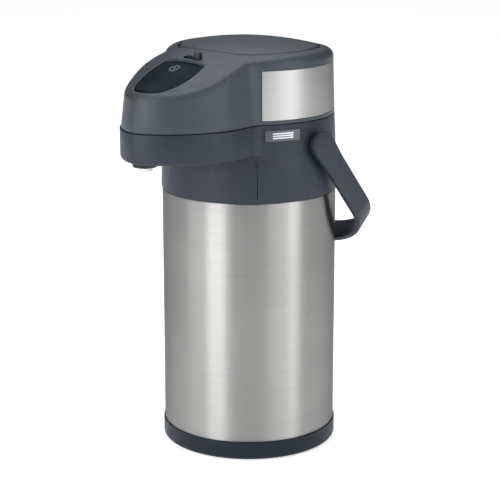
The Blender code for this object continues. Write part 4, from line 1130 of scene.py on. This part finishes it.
def lever_emblem():
    """A raised plain ring round a small dot."""
    y = EMBLEM_Y
    slope = (roof_z(0, y + 5) - roof_z(0, y - 5)) / 10
    top = roof_z(0, y) - 1.0
    low, high, r = top - 0.3, top + 0.8, EMBLEM_DOT_R
    ring = [(EMBLEM_HOLE_R, low), (EMBLEM_R, low), (EMBLEM_R, high), (EMBLEM_HOLE_R, high)]
    dot = [(0, low), (r, low), (r, top + 0.3), (r - 0.3, top + 0.6), (0, top + 0.6)]
    pieces = ((rounded(ring, [0.05, 0.05, 0.5, 0.5], 3), 48, "catch_ring", ("lever_emblem",)),)
    pieces += ((dot, 24, "catch_dot", ()),)
    for profile, count, name, replaced in pieces:
        bm = turned(profile, count, (0.0, y))
        for v in bm.verts:
            v.co.z += (v.co.y - y) * slope
        place(finish(bm, name, MATS["ring"]), "lever", "badge", *replaced)


def slot_shade_liner():
    """A thin dark cup that lines the lock's slot: painted shade for the slot's shadowed recess."""
    floor_z, lip = roof_z(0.0, LOCK_Y) - LOCK_SLOT_DEPTH + 0.05, 0.4
    outer, inner = lock_slot(0.03), lock_slot(0.33)
    rings = [level(outer, floor_z), draped(outer, lip), draped(inner, lip), level(inner, floor_z + 0.3)]
    place(finish(loft(rings), "slot_shade_liner", MATS["black"]), "lid", "black")


def lock_slider():
    """The travel lock: a rounded tab that runs in the slot, with three ribs for the thumb."""
    top, x, y = roof_z(0.0, LOCK_Y), LOCK_X, LOCK_Y
    wide, deep = LOCK_HALF
    tab = block(x - wide, x + wide, y - deep, y + deep, top - 4.0, top + 4.6, 0.6)
    place(finish(tab, "lock_tab", MATS["black"]), "lock", "black", "lock_slider")
    wide, deep = LOCK_RIB_HALF
    for i in range(3):
        middle = x + LOCK_RIB_PITCH * (i - 1)
        rib = block(middle - wide, middle + wide, y - deep, y + deep, top + 0.9, top + 5.2, 0.35)
        # The ribs take a lighter grey: a painted highlight for their glossy edges.
        place(finish(rib, f"lock_rib_{i + 1}", MATS["rib"]), "lock", "black")


# ------------ inner pieces


def neck_ring():
    lip_r, mouth_r, wall_r, flange_r = NECK_R - 1.4, 41.0, 46.0, 60.0
    low, flange, seat, top = 265.4, 270.0, NECK_TOP_Z + 0.5, DECK_Z + 3.0
    outline = [(lip_r, seat), (lip_r, seat + 3), (mouth_r, top - 3), (mouth_r, top)]
    outline += [(wall_r, top), (wall_r, flange), (flange_r, flange), (flange_r, low)]
    outline += [(NECK_R + 2, low), (NECK_R + 2, seat)]
    profile = rounded(outline, [0.1, 0.8, 1.0, 0.7, 0.7, 0.1, 0.5, 0.3, 0.1, 0.1], 3)
    obj = finish(turned(profile, 96), "neck_funnel", MATS["black"])
    carve(obj, [cut(bar_y(TUBE_R + 0.4, 0.0, TUBE_Z, -60.0, -25.0))])
    place(obj, "pot", "black", "neck_ring")


def mouth_pieces():
    low, high, outer = 305.6, LID_BASE_Z - GAP, 45.0
    outline = [(AIR_HOLE_R, low), (outer, low), (outer, high), (AIR_HOLE_R, high)]
    plug = finish(turned(rounded(outline, [0.8, 1.2, 0.1, 0.1], 3), 96), "plug_disc", MATS["black"])
    place(plug, "lid", "black", "mouth_plug")
    low, high, inner, outer = DECK_Z + 3.3, 305.3, 37.0, 45.2
    outline = [(inner, high), (inner, low), (outer, low), (outer, high)]
    seal = finish(turned(rounded(outline, [0.1, 0.8, 0.8, 0.1], 4), 96), "seal_ring", MATS["silicone"])
    place(seal, "lid", "silicone", "mouth_gasket")


def bellows():
    """Three rubber folds."""
    folds, per = 3, 12
    outside, inside = [], []
    for i in range(folds * per + 1):
        t = i / per
        z = BELLOWS_BOTTOM_Z + BELLOWS_HEIGHT * t / folds
        wave = abs(2 * (t % 1.0) - 1)
        r = BELLOWS_R - BELLOWS_FOLD_DEPTH * (0.85 * wave + 0.15 * wave * wave * (3 - 2 * wave))
        outside.append((r, z))
        inside.append((r - 2 * BELLOWS_WALL, z))
    obj = finish(turned(outside + inside[::-1], 96), "pump_bellows", MATS["rubber"], 25.0)
    place(obj, "lid", "rubber", "bellows")
    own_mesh(obj)


def return_spring():
    turns, steps, sides, r, wire = 5, 32, 10, SPRING_R, SPRING_WIRE_R
    low, high = BELLOWS_BOTTOM_Z + 1.3, BELLOWS_TOP_Z - 1.3
    rings = []
    for i in range(turns * steps + 1):
        a = 2 * math.pi * i / steps
        t = i / (turns * steps)
        rise = (smoothstep(t) * 0.35 + t * 0.65) * (high - low)
        out = Vector((math.cos(a), math.sin(a), 0.0))
        ring = []
        for k in range(sides):
            b = 2 * math.pi * k / sides
            across = out * math.cos(b) + Vector((0, 0, 1)) * math.sin(b)
            ring.append(out * r + Vector((0, 0, low + rise)) + across * wire)
        rings.append(ring)
    obj = finish(loft(rings), "pump_spring", MATS["satin"], 50.0)
    place(obj, "lid", "steel", "return_spring")
    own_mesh(obj)


CAD_FINISH = {
    "satin": ["swivel_screw", "dip_tube", "lid_hinge_pin"] + [f"lid_screw_{i}" for i in range(1, 5)],
    "slate": ["collar_deck"],
    "black": ["tube_carrier", "handle_pivot_near", "handle_pivot_far", "lid_base", "bellows_cap"],
    "silicone": ["discharge_tube"],
}


def paint_cad():
    """Gives the CAD pieces that are shown as they are a finished material."""
    for key, names in CAD_FINISH.items():
        for name in names:
            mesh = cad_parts[name].data
            mesh.materials.clear()
            mesh.materials.append(MATS[key])


# ------------ floor and light


def floor():
    """A pale floor, in metres, a hair below the foot's pad."""
    bm = bmesh.new()
    size, z = 30.0, -0.0002
    sides = ((-1, -1), (1, -1), (1, 1), (-1, 1))
    corners = [bm.verts.new((x * size, y * size, z)) for x, y in sides]
    bm.faces.new(corners)
    mesh = bpy.data.meshes.new("floor")
    bm.to_mesh(mesh)
    bm.free()
    obj = bpy.data.objects.new("floor", mesh)
    bpy.context.scene.collection.objects.link(obj)
    mat, _, shader = new_material("pale_floor")
    set_inputs(shader, {"Base Color": (0.86, 0.86, 0.86, 1.0), "Roughness": 0.9})
    set_inputs(shader, {"Specular IOR Level": 0.0})
    set_inputs(shader, {"Emission Color": (1.0, 1.0, 1.0, 1.0), "Emission Strength": 0.62})
    mesh.materials.append(mat)


def softbox(name, azimuth, distance, height, width, tall, watts, aim_z=0.2, aim_distance=0.0):
    """A soft light; azimuth is measured from the camera's, to its right."""
    light = bpy.data.lights.new(name, "AREA")
    light.shape = "RECTANGLE"
    light.size = width
    light.size_y = tall
    light.energy = watts
    obj = bpy.data.objects.new(name, light)
    bpy.context.scene.collection.objects.link(obj)
    side, up = outward(CAM_AZIMUTH + azimuth, 0.0), Vector((0.0, 0.0, 1.0))
    obj.location = side * distance + up * height
    look = side * aim_distance + up * aim_z - obj.location
    obj.rotation_euler = look.to_track_quat("-Z", "Y").to_euler()
    obj.visible_camera = False


def lights():
    world = bpy.data.worlds.new("studio")
    world.use_nodes = True
    sky = world.node_tree.nodes["Background"]
    set_inputs(sky, {"Color": (1.0, 1.0, 1.0, 1.0), "Strength": 0.10})
    bpy.context.scene.world = world
    # Upright boxes draw the steel's highlights: azimuth, distance, width and watts.
    upright = {
        "box_left": (-42.5, 1.5, 0.72, 16.6),
        "box_left_wide": (-69.0, 1.6, 1.1, 6.4),
        "box_right": (61.5, 1.5, 0.45, 7.4),
        "box_right_wide": (42.5, 1.7, 1.1, 7.4),
    }
    for name, (azimuth, distance, width, watts) in upright.items():
        softbox(name, azimuth, distance, 0.85, width, 1.7, watts)
    softbox("box_top", 180.0, 0.35, 2.2, 1.6, 1.6, 24.0, 0.0, 0.2)
    softbox("box_far", 180.0, 3.4, 3.0, 3.0, 3.0, 30.0, 0.0, 3.4)


make_camera()
outer_shell()
inner_vessel()
base_cover()
foot()
collar_housing()
front_panel()
nozzle()
badge()
handle_strap()
lid_shell()
lid_band()
push_plate()
release_lever()
lever_emblem()
slot_shade_liner()
lock_slider()
neck_ring()
mouth_pieces()
bellows()
return_spring()
paint_cad()
floor()
lights()
